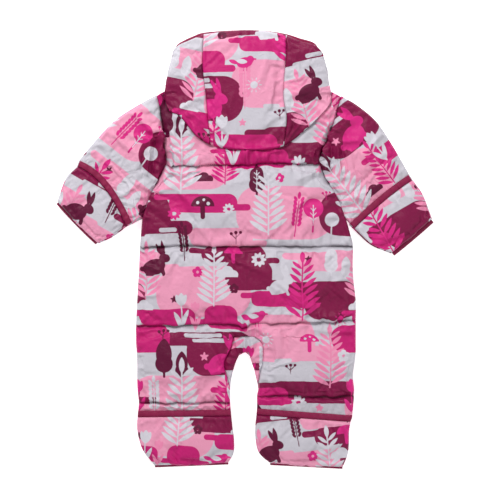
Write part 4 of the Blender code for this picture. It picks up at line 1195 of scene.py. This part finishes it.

# %% [markdown]
# ## Puckers beside the stitching
# Thread is tighter than cloth, so each seam and quilting line draws small ridges square off itself. The
# simulation finds the wide ones. The narrow ones are shorter than its mesh can hold, so they are listed one
# by one: each line has its own height, spacing and reach, and the ridges along it are uneven.

# %% Lines that pucker the cloth
def pucker_lines():
    """Rows of face, line, height, spacing and reach."""
    lines = []
    for side in BODY:
        armhole = edge_of(side, OUTER, np.linspace(0, 12, 40))
        neck = edge_of(side, BACK, np.linspace(0, 8, 30))
        leg = edge_of(side, BACK, np.linspace(18, 25, 30))
        strip = along(HOOD_STRIP[side], np.linspace(0, 1, 30))
        brim, fold = along(BRIM[side], np.linspace(0, 1, 20)), along(HOOD_SIDE[side], np.linspace(0, 1, 12))
        parts = ("back", "sleeve", "hood", "hand", "foot")
        back, sleeve, hood, hand, foot = [part + "_" + side for part in parts]
        stations, flat_back = STATIONS[side], CUT_FROM["back_" + side]
        cross_lines = [int(np.argmin(np.abs(stations - key))) for key in (4, 6, 8)]
        binding = [CUT_FROM[sleeve][row][::4] for row in cross_lines]
        lines += [
            (back, armhole, 2.4, 11, 9), (sleeve, armhole, 2.8, 10, 10), (back, neck, 1.8, 9, 8),
            (hood, neck, 1.6, 10, 8), ("hood_centre", neck, 1.6, 10, 8), (back, leg, 1.6, 8, 6),
            ("gusset", leg, 1.8, 7, 6), (sleeve, SLEEVE_QUILTING[side], 1.3, 10, 8),
            (sleeve, binding[0], 1.3, 8, 7), (hand, binding[1], 1.3, 8, 8), (hand, binding[2], 1.1, 7, 6),
            (hood, strip, .9, 9, 6), ("hood_centre", strip, .9, 8, 6), (hood, brim, 1.0, 10, 7),
            (hood, fold, 1.2, 13, 9), (back, flat_back[row_at(25), ::6], 1.2, 8, 7),
            (foot, flat_back[row_at(26), ::6], 1.4, 8, 8), (foot, flat_back[-1, ::6], 1.2, 9, 7),
            (back, flat_back[:, 0][::6][20:], 1.4, 16, 9)]
        high, every = (2.6, 2.1, 1.7, 2.1, 1.7, 1.7), (9, 10, 11, 9, 10, 10)
        lines += [(back, *row, 9) for row in zip(BODY_QUILTING, high, every)]
    lines.append(("hood_centre", along(BRIM["middle"], np.linspace(0, 1, 20)), 1.0, 11, 7))
    return lines


for number, (name, line, high, every, reach) in enumerate(pucker_lines()):
    FACE[name][..., 2] += gathers(CUT_FROM[name], line, 40 + number, high, every, reach)
print("pucker lines:", len(pucker_lines()))

# %% [markdown]
# ## Cloth pinched into its stitching
# Along the quilting and round the armholes the cloth dives into the stitching and rises beside it in lips
# that hang over it, which is why such a line shows as a dark crease. A height for each point can't overhang,
# so the points are also moved sideways, the more the higher they stand. The hood's seams do the opposite and
# stand up as soft rolls.

# %% Grooves, lips, leaning folds and rolls
CHEST, WAIST, HIP_LEFT, HIP_RIGHT, SHIN_LEFT, SHIN_RIGHT = BODY_QUILTING
ARMHOLE = {"left": LEFT_BODY[:, :2], "right": RIGHT_BODY[:, :2]}
# columns: line, height of the lips on both its sides, how far their crests lie from it
LIPS = [
    (CHEST, 2.0, 8), (WAIST, 1.8, 6), (HIP_LEFT, 1.2, 5), (HIP_RIGHT, 1.4, 5), (SHIN_LEFT, 1.2, 5),
    (SHIN_RIGHT, 1.2, 5), (ARMHOLE["left"][3:11], 4.4, 6), (ARMHOLE["right"][3:11], 4.2, 6)]
# columns: line, sideways x and y for each mm of height, reach, spacing of its unevenness
LEANING = [
    (CHEST, 0, -1, 9, 17), (WAIST, 0, -.95, 8, 23), (HIP_LEFT, 0, -.85, 7, 15), (HIP_RIGHT, 0, -.85, 8, 13),
    (SHIN_LEFT, 0, -.8, 6, 19), (SHIN_RIGHT, 0, -.8, 6, 21),
    (ARMHOLE["left"][4:11], 1.0, .1, 9, 14), (ARMHOLE["right"][4:11], -1.0, .1, 9, 16)]
# height and half width, in mm
QUILTING_GROOVE, ARMHOLE_GROOVE, NECK_ROLL, STRIP_ROLL = (3.4, 2.0), (2.6, 2.4), (8.5, 10), (2.0, 7)


def uneven(s, every, seed):
    """A smooth factor between about .1 and 1.2 along a line: .65 + .35 sin(s / every) + .25 sin(2.3 s /
    every), with each sine moved along by the seed."""
    return .65 + .35 * np.sin(s / every + seed) + .25 * np.sin(s / every * 2.3 + 2 * seed)


def ridge(d, high, half):
    """A ridge along a line: high * e^-(d / half)^2, with d the distance from it."""
    return high * np.exp(-(d / half) ** 2)


def leaned(grid, xy):
    """Folds that hang over their stitching: lips of cloth rise beside it, high * t * e^((1 - t^2) / 2), and
    points move sideways by a share of their height over the seam, times e^-(distance / reach)^2."""
    for number, (line, high, reach) in enumerate(LIPS):
        d, s = near(xy, line)
        grid[..., 2] += high * uneven(s, 15, number) * d / reach * np.exp((1 - (d / reach) ** 2) / 2)
    for number, (line, x, y, reach, every) in enumerate(LEANING):
        d, s = near(xy, line)
        high = np.maximum(grid[..., 2] - SEAM_TOP - 1, 0)
        grid[..., :2] += (ridge(d, high, reach) * uneven(s, every, number))[..., None] * (x, y)


for name, grid in FACE.items():
    flat = CUT_FROM[name]
    if name.startswith("back"):
        for line in BODY_QUILTING:
            grid[..., 2] -= ridge(distance(flat, line), *QUILTING_GROOVE)
    if name.startswith(("back", "sleeve")):
        for side in BODY:
            grid[..., 2] -= ridge(distance(flat, ARMHOLE[side][2:11]), *ARMHOLE_GROOVE)
        leaned(grid, flat)
    if name.startswith(("back", "hood")):
        for side in BODY:
            d, s = near(flat, edge_of(side, BACK, np.linspace(0, 8, 40)))
            grid[..., 2] += ridge(d, *NECK_ROLL) * uneven(s, 19, len(side))
    if name.startswith("hood"):
        for side in BODY:
            grid[..., 2] += ridge(distance(flat, along(HOOD_STRIP[side], HOOD_ROWS[::4])), *STRIP_ROLL)
    grid[..., 2] = np.maximum(grid[..., 2], LOWEST)
print("highest point of the back: %.1f mm" % FACE["back_left"][..., 2].max())

# %% [markdown]
# ## Covers over the finished folds
# The covers lie on cloth that has folded since, so each inside is made anew and its face is kept above it. A
# free end isn't sewn to anything: it hangs past the limb in a few soft waves, strongest in its middle.

# %% The covers settled and their free ends waved
WAVE = {"foot": 3.8, "hand": 1.5}        # how far the free end waves out, in mm


def waves(line, most):
    """How far an edge waves out: most * (.8 + .35 sin(s / 6.1) + .25 sin(s / 2.7)), kept between 0 and most,
    times a bell over the middle of its length."""
    s = lengths(line)
    wave = most * np.clip(.8 + .35 * np.sin(s / 6.1) + .25 * np.sin(s / 2.7), 0, 1)
    return wave * np.exp(-((s / s[-1] - .52) / .24) ** 2)


for name in COVER_INSIDE:
    inner = cover_inside(under_cover(name))
    FACE[name][..., 2] = np.maximum(FACE[name][..., 2], inner[..., 2] + 1.2)
    out = CUT_FROM[name][-1] - CUT_FROM[name][-2]
    out *= (waves(CUT_FROM[name][-1], WAVE[name[:4]]) / np.linalg.norm(out, axis=1))[:, None]
    hang = np.exp(-np.arange(len(inner))[::-1] / 4)[:, None, None] * out
    FACE[name][..., :2] += hang
    inner[..., :2] += hang
    COVER_INSIDE[name] = inner
print("covers settled:", list(COVER_INSIDE))

# %% [markdown]
# ## The back and the gusset as closed walls
# The back's two halves become one mesh. They share their points down the middle from the neck to the crotch,
# and one rim runs round all of it, so the cloth is one piece as it was cut.

# %% The back and the gusset as closed walls
# painted shade: how far from the stitching the darkened colour reaches
PAINTED_SHADE_REACH = 1.9        # how far from its stitching cloth is shaded as pinched, in mm
INSIDE_LEVEL = MEET_Z + GAP / 2


def painted_crease_shade(places):
    """How much painted shade darkens cloth beside its stitching, 0 to 1: the greatest of an uneven share
    times e^-(distance / reach)^2 over the quilting lines, the neck seam and the armholes."""
    lines = list(zip(BODY_QUILTING, (1.1, 1.3, 1, 1, 1, 1)))
    for side in BODY:
        lines.append((edge_of(side, BACK, np.linspace(0, 8, 40)), .7))
        lines.append((edge_of(side, OUTER, np.linspace(1, 10, 40)), 1.1))
    painted_shade_amount = np.zeros(len(places))
    for number, (line, most) in enumerate(lines):
        d, s = near(places, line)
        painted_shade_amount = np.maximum(painted_shade_amount, ridge(d, np.minimum(most * uneven(s, 14, number), 1), PAINTED_SHADE_REACH))
    return painted_shade_amount


def back_rim(left, right, neck, crotch):
    """The numbers round the back, in order: left side, foot and inner leg, right inner leg, foot, side and
    shoulder, then the neck and the left shoulder."""
    return np.concatenate([left[:, 0], left[-1, 1:], left[-2:crotch - 1:-1, -1], right[crotch + 1:, -1],
                           right[-1, -2::-1], right[-2::-1, 0], right[0, 1:], right[1:neck + 1, -1],
                           left[neck - 1::-1, -1], left[0, -2:0:-1]])


def make_back():
    """One mesh of the two halves, without the right half's own copies of the points that they share."""
    count = len(ROWS) * len(ACROSS)
    left, right = numbers(len(ROWS), len(ACROSS)), numbers(len(ROWS), len(ACROSS), count)
    neck, crotch = row_at(8), row_at(18)
    right[neck:crotch + 1, -1] = left[neck:crotch + 1, -1]
    points = np.concatenate([trimmed(FACE["back_" + side]).reshape(-1, 3) for side in BODY])
    points[left[neck + 1:crotch, -1]] = FACE["back_left"][neck + 1:crotch, -1]
    rim = back_rim(left, right, neck, crotch)
    smooth = np.concatenate([faces_of(left), faces_of(right)])
    used, renumbered = np.unique(np.concatenate([smooth.ravel(), rim]), return_inverse=True)
    renumbered = renumbered.ravel()
    smooth, rim = renumbered[:smooth.size].reshape(-1, 4), renumbered[smooth.size:]
    flat = np.concatenate([CUT_FROM["back_" + side].reshape(-1, 2) for side in BODY])[used]
    piece = layer("padded_back", points[used], smooth, rim, INSIDE_LEVEL, SHELL, on_the_bolt(flat), "back")
    # painted shade in the stitched creases, stored for the shell's finish to darken its colour
    store(piece.data, "crease", painted_crease_shade(np.concatenate([flat, flat[rim]])))
    return piece


def make_layer(name, face, node, cut, inside=None, level=INSIDE_LEVEL):
    """A padded layer from one grid, trimmed by half a seam's gap all round."""
    grid = trimmed(face)
    number = numbers(*grid.shape[:2])
    smooth, rim = faces_of(number), rim_of(number)
    return layer(name, grid.reshape(-1, 3), smooth, rim, level, SHELL, cut, node, inside)


back = make_back()
gusset = make_layer("padded_gusset", FACE["gusset"], "crotch_gusset",
                    on_the_bolt(CUT_FROM["gusset"].reshape(-1, 2), 0, (180, 360)))

# %% [markdown]
# ## The fronts
# The front lies underneath, flat on the table, and opens down the middle with a zip. Its side edges turn up
# to meet the back. The same quilting crosses it as shallow valleys, since the table flattens the padding.

# %% The two fronts
VALLEY = (1.4, 4)        # height and half width of the underside's valleys, in mm
LEG_SWING = {"left": -5.5, "right": 3.5}         # how far the inner edge swings outwards below the crotch


def valleys(xy):
    """Shallow valleys of the underside, one along each quilting line."""
    return np.max([ridge(distance(xy, line), *VALLEY) for line in BODY_QUILTING], axis=0)


# the columns crowd towards both edges, where the layer turns up
near_edge = np.array([0, .004, .01, .018, .027])
front_columns = np.concatenate([near_edge, np.linspace(.037, .963, 87), 1 - near_edge[::-1]])
for side in BODY:
    outer, inner = edge_of(side, OUTER, ROWS), edge_of(side, FRONT, ROWS)
    inner[:, 0] += LEG_SWING[side] * np.sin(math.pi * np.clip(ROWS - 20, 0, 1))
    xy = between(outer, inner, front_columns)
    folded_sides = [outer[ROWS >= 12][::3], inner[ROWS >= 20][::3], outer[:12:3]]
    bottom = underside(xy, folded_sides)
    bottom[..., 2] = np.maximum(bottom[..., 2], valleys(xy))
    cut = on_the_bolt(trimmed(bottom)[..., :2].reshape(-1, 2), 0, (150, 40), mirrored=True)
    front = make_layer("padded_front_" + side, bottom, "front_" + side, cut, level=MEET_Z - GAP / 2)

# %% [markdown]
# ## Tubes pressed flat
# A sleeve and a hood's side are folded rather than seamed at their edges, so their top and bottom layers join
# through a few points round each fold. Inside, a pressed tube keeps only a hair of space between its layers,
# which is enough for it to stay a closed wall.

# %% The sleeves, folded at their sides
BULGE = 2.2              # how far a fold stands out sideways
HOLLOW = .15             # half the space that is left inside a pressed tube
TURNED_IN = 3.0          # how far the inside stops short of a fold
COME_DOWN = HOLLOW * np.linspace(1, -1, 6)[1:-1]     # levels of the inside round a fold


def fold_round(high, low, away):
    """Points round a folded side: a half circle between the top's edge and the bottom's."""
    a = np.linspace(0, math.pi, 6)[1:-1][None, :, None]
    middle, half = ((high + low) / 2)[:, None], ((high - low) / 2)[:, None]
    return middle + half * np.cos(a) + BULGE * np.sin(a) * away[:, None]


def outward(edge, next_to):
    """Unit steps in plan from a grid's second line of points to its edge."""
    step = (edge - next_to) * (1, 1, 0)
    return step / np.maximum(np.linalg.norm(step, axis=1), 1e-6)[:, None]


def plan_of(outer, inner):
    """Where the points of two grids lie on the table, one grid after the other."""
    return np.concatenate([outer.reshape(-1, 3), inner.reshape(-1, 3)])[:, :2]


def make_sleeve(side):
    """A tube: top, fold, bottom and fold, round an inside with few rows that lies at the middle level."""
    top = FACE["sleeve_" + side]
    flat = with_z(CUT_FROM["sleeve_" + side], 0.0)
    bottom = underside(flat[..., :2], [flat[:, 0, :2], flat[:, -1, :2]])
    first, last = outward(flat[:, 0], flat[:, 1]), outward(flat[:, -1], flat[:, -2])
    rings = [top, fold_round(top[:, -1], bottom[:, -1], last), bottom[:, ::-1],
             fold_round(top[:, 0], bottom[:, 0], first)[:, ::-1]]
    outer = ends_in(np.concatenate(rings, axis=1), GAP / 2)
    kept = np.unique(np.linspace(0, len(outer) - 1, 7).astype(int))
    inside = drawn_in(ends_in(flat, GAP / 2)[kept], TURNED_IN)
    level = np.full(inside.shape[1], HOLLOW)
    inner = np.concatenate([inside, np.repeat(inside[:, -1:], 4, axis=1), inside[:, ::-1],
                            np.repeat(inside[:, :1], 4, axis=1)], axis=1)
    inner[..., 2] = MEET_Z + np.concatenate([level, COME_DOWN, -level, -COME_DOWN])
    turn, shift = (38, (10, 20)) if side == "left" else (-38, (60, 180))
    cut = on_the_bolt(plan_of(outer, inner), turn, shift)
    return shell("padded_sleeve_" + side, outer, inner, SHELL, cut, "sleeve_" + side, tube=True)


for side in BODY:
    make_sleeve(side)

# %% [markdown]
# ## The hood as closed walls
# The strip is one layer like the gusset. Each side is a wide band that starts at the strip, turns under at
# the hood's edge and ends at the face opening, with the brushed lining on its inside.

# %% The hood's strip and its two sides
def make_hood_side(side):
    """A side panel: its upper face, the fold at the hood's edge and the part under it to the opening."""
    upper = FACE["hood_" + side]
    flat_upper = with_z(CUT_FROM["hood_" + side], 0.0)
    chin = edge_of(side, FRONT, np.linspace(0, 8, 64))
    fold, face_edge = along(HOOD_SIDE[side], HOOD_ROWS), along(FACE_EDGE[side], HOOD_ROWS)
    corner = between(fold[-1:], face_edge[-1:], share(chin))[0]
    lower = coons(chin, corner, fold, face_edge)
    under = underside(lower, [fold])
    away = outward(flat_upper[:, -1], flat_upper[:, -2])
    outer = trimmed(np.concatenate([upper, fold_round(upper[:, -1], under[:, 0], away), under], axis=1))
    turned = flat_upper[:, -1:] - TURNED_IN * away[:, None]
    inner = np.concatenate([flat_upper[:, :-1], np.repeat(turned, 6, axis=1), under[:, 1:]], axis=1)
    above, below = np.full(flat_upper.shape[1] - 1, HOLLOW), np.full(under.shape[1] - 1, -HOLLOW)
    inner[..., 2] = MEET_Z + np.concatenate([above, np.linspace(HOLLOW, -HOLLOW, 6), below])
    inner = trimmed(inner)
    turn, shift = (12, (-30, 96)) if side == "left" else (-14, (40, 150))
    cut = on_the_bolt(plan_of(outer, inner), turn, shift)
    return shell("padded_hood_" + side, outer, inner, SHELL, cut, "hood_" + side, inside=LINING)


hood_centre = make_layer("padded_hood_centre", FACE["hood_centre"], "hood_centre",
                         on_the_bolt(CUT_FROM["hood_centre"].reshape(-1, 2), 0, (20, -26)), LINING)
for piece in (hood_centre, make_hood_side("left"), make_hood_side("right")):
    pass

# %% [markdown]
# ## The covers as closed walls
# A cover could be a bent sheet, but padding has a thickness, so it is a wall between its outside and the
# inside that was made from the face under it. Each is cut from another place of the printed cloth.

# %% The hand and foot covers
# how far each cover is turned on the printed cloth, and where on it
COVER_CUT = {"foot_left": (4, (40, 250)), "hand_left": (30, (130, 60)),
             "foot_right": (-6, (210, 330)), "hand_right": (-30, (250, 20))}
for name, inside in COVER_INSIDE.items():
    kind, side = name.split("_")
    node = ("foot_flap_" if kind == "foot" else "mitt_flap_") + side
    cut = on_the_bolt(plan_of(FACE[name], inside), *COVER_CUT[name])
    piece = shell("padded_%s_cover_%s" % (kind, side), FACE[name], inside, SHELL, cut, node)

# %% [markdown]
# ## Bindings
# Every raw edge is finished with a folded strip of maroon cloth. The two wide ones hold the covers, so they
# lie flat and fat on the suit. The cuffs' and legs' ends have elastic inside and stand out past the cloth.

# %% The wide bindings of the covers
def wide_binding(under, node, name):
    """A strip on a stretch of a face, 1.5 + 2.1 (1 - .96 t^2)^(1/2) mm high, with t from -1 to 1 across."""
    low = drawn_in(under, GAP / 2)
    low[..., 2] += GAP
    t = share(low[:, low.shape[1] // 2]) * 2 - 1
    high = low.copy()
    high[..., 2] += (1.5 + 2.1 * np.sqrt(1 - .96 * t ** 2))[:, None]
    piece = shell(name, high, low, BINDING, node=node)
    return high


BINDING_FACE = {}
for side in BODY:
    under = FACE["back_" + side][row_at(25):row_at(26) + 1]
    BINDING_FACE["foot_" + side] = wide_binding(under, "foot_binding_" + side, "foot_cover_binding_" + side)
    held = (STATIONS[side] >= 3.999) & (STATIONS[side] <= 6.001)
    BINDING_FACE["hand_" + side] = wide_binding(FACE["sleeve_" + side][held], "mitt_binding_" + side,
                                                "hand_cover_binding_" + side)
print("wide bindings:", list(BINDING_FACE))

# %% [markdown]
# ## Elastic at the openings
# A cuff or a leg end is bound with a strip that holds an elastic. It gathers the cloth into small uneven
# ribs, is fattest in its middle and is pinched where the tube folds, so it's made as a flat tube of its own.

# %% The elastic bindings of the cuffs and leg ends
def flat_hem(name, node, line, out, wide):
    """A flattened tube past an opening: half thickness 2.4 mm * (1 - .85 t^4)^(1/2), t from 0 to 1."""
    out = np.asarray(out, float) / np.linalg.norm(out)
    t = np.array([0, .2, .4, .6, .75, .87, .95, 1])
    steps = GAP + (wide - GAP) * t
    xy = drawn_in(line[None] + steps[:, None, None] * out, GAP / 2)
    thick = 2.4 * np.sqrt(1 - .85 * t ** 4)[:, None] * np.ones(len(line))
    s = lengths(line)
    thick *= 1 - .14 * np.sin(s / 1.6) * np.sin(s / 7.3) ** 2
    thick[:, [0, -1]] *= .6
    inside = drawn_in(xy, 1.6)
    outer = np.concatenate([with_z(xy, MEET_Z + thick), with_z(xy, MEET_Z - thick)[:, ::-1]], axis=1)
    above, below = with_z(inside, MEET_Z + HOLLOW), with_z(inside, MEET_Z - HOLLOW)
    inner = np.concatenate([above, below[:, ::-1]], axis=1)
    piece = shell(name, outer, inner, BINDING, node=node, tube=True)


for side in BODY:
    cuff = CUT_FROM["sleeve_" + side][-1]
    run = cuff[-1] - cuff[0]
    out = np.array([run[1], -run[0]])
    out *= np.sign(out @ (cuff[0] - CUT_FROM["sleeve_" + side][-9, 0]))
    flat_hem("cuff_elastic_binding_" + side, "cuff_binding_" + side, cuff, out, CUFF_WIDE[side])
    end = CUT_FROM["back_" + side][-1]
    flat_hem("leg_elastic_binding_" + side, "leg_end_binding_" + side, end, (0, -1), LEG_END_WIDE)

# %% [markdown]
# ## The hood's binding
# One strip goes round the brim and the face opening. It is folded over the cloth's edge, so its section is an
# oval that is carried along the edge, and it is made in three lengths that meet at the hood's corners.

# %% The hood's binding
def folded_strip(name, node, path, half_wide, half_high):
    """A soft strip folded round an edge: an oval section carried along a path, closed at both ends."""
    step = np.gradient(path, axis=0)
    step /= np.linalg.norm(step, axis=1)[:, None]
    across = np.stack([-step[:, 1], step[:, 0], np.zeros(len(path))], axis=1)
    a = np.linspace(0, 2 * math.pi, 17)[:-1]
    rings = (path[:, None] + half_wide * np.cos(a)[None, :, None] * across[:, None]
             + half_high * np.sin(a)[None, :, None] * np.array((0, 0, 1.0)))
    number = numbers(*rings.shape[:2])
    ends = [number[0], number[-1]]
    piece = build(name, rings.reshape(-1, 3), faces_of(number, close=True), ends, BINDING, node=node)


HOOD_CORNER = {"left": [(-114.5, 331), (-117.4, 341)], "right": [(123, 334), (126, 343.5)]}
for side, away in (("left", -3.3), ("right", 3.3)):
    edge = shifted(along(FACE_EDGE[side], np.linspace(.05, .96, 14)), away)
    path = along(np.concatenate([edge, HOOD_CORNER[side]]), np.linspace(0, 1, 110))
    folded_strip("face_binding_" + side, "hood_binding_" + side, with_z(path, 5.0), 3.0, 2.6)
BRIM_PATH = [(-118.6, 343.5), (-117.5, 355.5), (-103.5, 364.5), (-88.5, 371.2), (-73, 376.6), (-35, 380),
             (0, 381.1), (35, 380.1), (71, 374.6), (97, 366.5), (119, 359.6), (128.2, 347.4)]
path = along(BRIM_PATH, np.linspace(0, 1, 160))
folded_strip("face_binding_brim", "hood_binding_brim", with_z(path, 6.1), 3.2, 3.8)
print("bindings done")

# %% [markdown]
# ## The zip
# Underneath, a coil zip closes the front. Its tape is woven in a fine rib, and its coil is one thread bent
# into loops that lock with the loops of the other side. The metal slider and its pull tab keep their solids.

# %% Zip tapes and coil
def zip_tape(side):
    """A flat strip about 0.8 mm thick, ribbed on both sides: 0.18 mm * cos of six turns across it."""
    low, high = (-7.7, -1.6) if side == "left" else (1.6, 7.7)
    x = np.linspace(low, high, 13)
    y = np.linspace(-145.9, 154.9, 200)
    ribs = .18 * np.cos((x - low) / (high - low) * 6 * 2 * math.pi)
    xy = np.stack(np.meshgrid(x, y), axis=-1)
    top, bottom = with_z(xy, 8.0 + ribs), with_z(xy, 7.2 - ribs)
    piece = shell("rib_woven_zip_tape_" + side, top, bottom, TAPE, node="zip_tape_" + side)


for side in BODY:
    zip_tape(side)


def coil():
    """Loops of thread across the zip, 1.6 mm apart: an oval ring, five-sided in section, for each loop."""
    y = np.arange(-144.0, 138.0, 1.6)
    a = np.linspace(0, 2 * math.pi, 9)[:-1]
    b = np.linspace(0, 2 * math.pi, 6)[:-1]
    ring = np.stack([1.05 * np.cos(a), 0 * a, 1.3 * np.sin(a)], axis=1)
    out = np.stack([np.cos(a), 0 * a, np.sin(a)], axis=1)
    tube_points = (ring[:, None] + .26 * (np.cos(b)[None, :, None] * out[:, None]
                   + np.sin(b)[None, :, None] * np.array((0, 1.0, 0))))
    points = tube_points[None] + np.stack([0 * y, y, 0 * y + 6.6], axis=1)[:, None, None]
    number = np.arange(points.size // 3).reshape(len(y), 8, 5)
    wrapped = np.concatenate([number, number[:, :1]], axis=1)
    faces = np.concatenate([faces_of(ring_numbers, close=True) for ring_numbers in wrapped])
    return build("zip_coil_loops", points.reshape(-1, 3), faces, [], COIL, node="zip_coil")


COIL = dyed_cloth("nylon_monofilament_coil", "#b9b2c0", .35, .0006)
coil()
print("zip done")

# %% [markdown]
# ## Slider and pull tab
# They are die-cast zinc with a pink lacquer. Lacquer is smooth and a little uneven over the casting, and
# small specks of it wear back to the pale metal, so one fine noise sets the specks and the unevenness.

# %% Lacquered metal
def lacquered_zinc(name, code):
    made, tree, shader = blank(name)
    place = add(tree, "ShaderNodeTexCoord").outputs["Object"]
    grit = add(tree, "ShaderNodeTexNoise", {"Vector": place, "Scale": 900.0, "Detail": 3.0})
    worn = add(tree, "ShaderNodeMapRange", {"Value": grit.outputs["Fac"], "From Min": .62, "From Max": .72})
    metal = linear("#b8b0b6")
    tint = add(tree, "ShaderNodeMix", {0: worn.outputs[0], 6: linear(code), 7: metal}, data_type="RGBA")
    tree.links.new(tint.outputs[2], shader.inputs["Base Color"])
    dents = add(tree, "ShaderNodeBump", {"Strength": .3, "Distance": .0001, "Height": grit.outputs["Fac"]})
    tree.links.new(dents.outputs[0], shader.inputs["Normal"])
    shader.inputs["Metallic"].default_value = .75
    shader.inputs["Roughness"].default_value = .32
    shader.inputs["Coat Weight"].default_value = .4
    return made


LACQUER = lacquered_zinc("pink_lacquered_zinc", "#c23a7c")
for node in ("zip_slider", "zip_pull"):
    frame["nodes"][node].data.materials.clear()
    frame["nodes"][node].data.materials.append(LACQUER)
print("slider and pull:", [len(frame["nodes"][node].data.vertices) for node in ("zip_slider", "zip_pull")])

# %% [markdown]
# ## Stitching
# Rows of lock stitches hold the quilting and the bindings. Each stitch is a short spindle of thread of only
# fifteen faces, since there are hundreds of them, laid along the face it is sewn through.

# %% Rows of stitches
STITCH_PITCH, STITCH_LONG = 3.2, 2.3
AHEAD = .8               # how far along the path a stitch looks for its direction


def stitches(name, path, finish, thick=.35, lift=.12):
    """Spindles a pitch apart along a path: two rings of five points between two poles, turned along it."""
    run = lengths(path)
    s = np.arange(STITCH_PITCH, run[-1] - STITCH_PITCH / 2, STITCH_PITCH)
    at = np.stack([np.interp(s, run, path[:, k]) for k in range(3)], axis=1)
    ahead = np.stack([np.interp(s + AHEAD, run, path[:, k]) for k in range(3)], axis=1) - at
    ahead /= np.linalg.norm(ahead, axis=1)[:, None]
    side = np.cross(ahead, (0, 0, 1.0))
    side /= np.linalg.norm(side, axis=1)[:, None]
    up = np.cross(side, ahead)
    a = np.linspace(0, 2 * math.pi, 6)[:-1]
    ring = np.stack([0 * a, thick * np.cos(a), thick * .8 * np.sin(a)], axis=1)
    pole, shoulder = np.array([(STITCH_LONG / 2, 0, 0)]), (STITCH_LONG * .28, 0, 0)
    unit = np.concatenate([-pole, ring - shoulder, ring + shoulder, pole])
    points = (at[:, None] + unit[None, :, :1] * ahead[:, None] + unit[None, :, 1:2] * side[:, None]
              + (unit[None, :, 2:] + lift) * up[:, None])
    k = np.arange(5)
    n = (k + 1) % 5
    ends = [np.stack([0 * k, 1 + k, 1 + n], axis=1), np.stack([0 * k + 11, 6 + n, 6 + k], axis=1)]
    bars = np.stack([1 + k, 6 + k, 6 + n, 1 + n], axis=1)
    start = 12 * np.arange(len(s))[:, None, None]
    thin = np.concatenate([(start + e).reshape(-1, 3) for e in ends])
    made = build(name, points.reshape(-1, 3), (start + bars).reshape(-1, 4), thin.tolist(), finish)
    made.data.polygons.foreach_set("use_smooth", np.ones(len(made.data.polygons), bool))
    return made


def across_back(key):
    left, right = FACE["back_left"][row_at(key)], FACE["back_right"][row_at(key)]
    return np.concatenate([left, right[-2::-1]])


# the quilting stitches are drawn thick in the dark thread, which adds painted shade along each quilting line
for key, name in ((9, "chest"), (14, "waist"), (17, "hip")):
    stitches("quilting_stitches_" + name, across_back(key), QUILTING_THREAD_DARK_AS_SHADE, thick=.42)
for side in BODY:
    stitches("quilting_stitches_shin_" + side, FACE["back_" + side][row_at(24)], QUILTING_THREAD_DARK_AS_SHADE, thick=.42)
    for kind in ("hand", "foot"):
        face = BINDING_FACE[kind + "_" + side]
        rows = np.concatenate([face[1], face[-2][::-1]])
        stitches("binding_stitches_%s_%s" % (kind, side), rows, THREAD, lift=.2)
print("stitching done")

# %% [markdown]
# The box of what was made is set beside the solid model's box, and how far each of its corners moved
# is printed. Soft cloth may stand a little proud of its solid, but the suit mustn't grow.

# %% Compare the boxes and finish
made_box = [list(corner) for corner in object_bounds()]
growth = (np.array(made_box) - np.array(cad_box)) * 1000
print("growth in mm, low and high corner:", np.round(growth, 1).tolist())
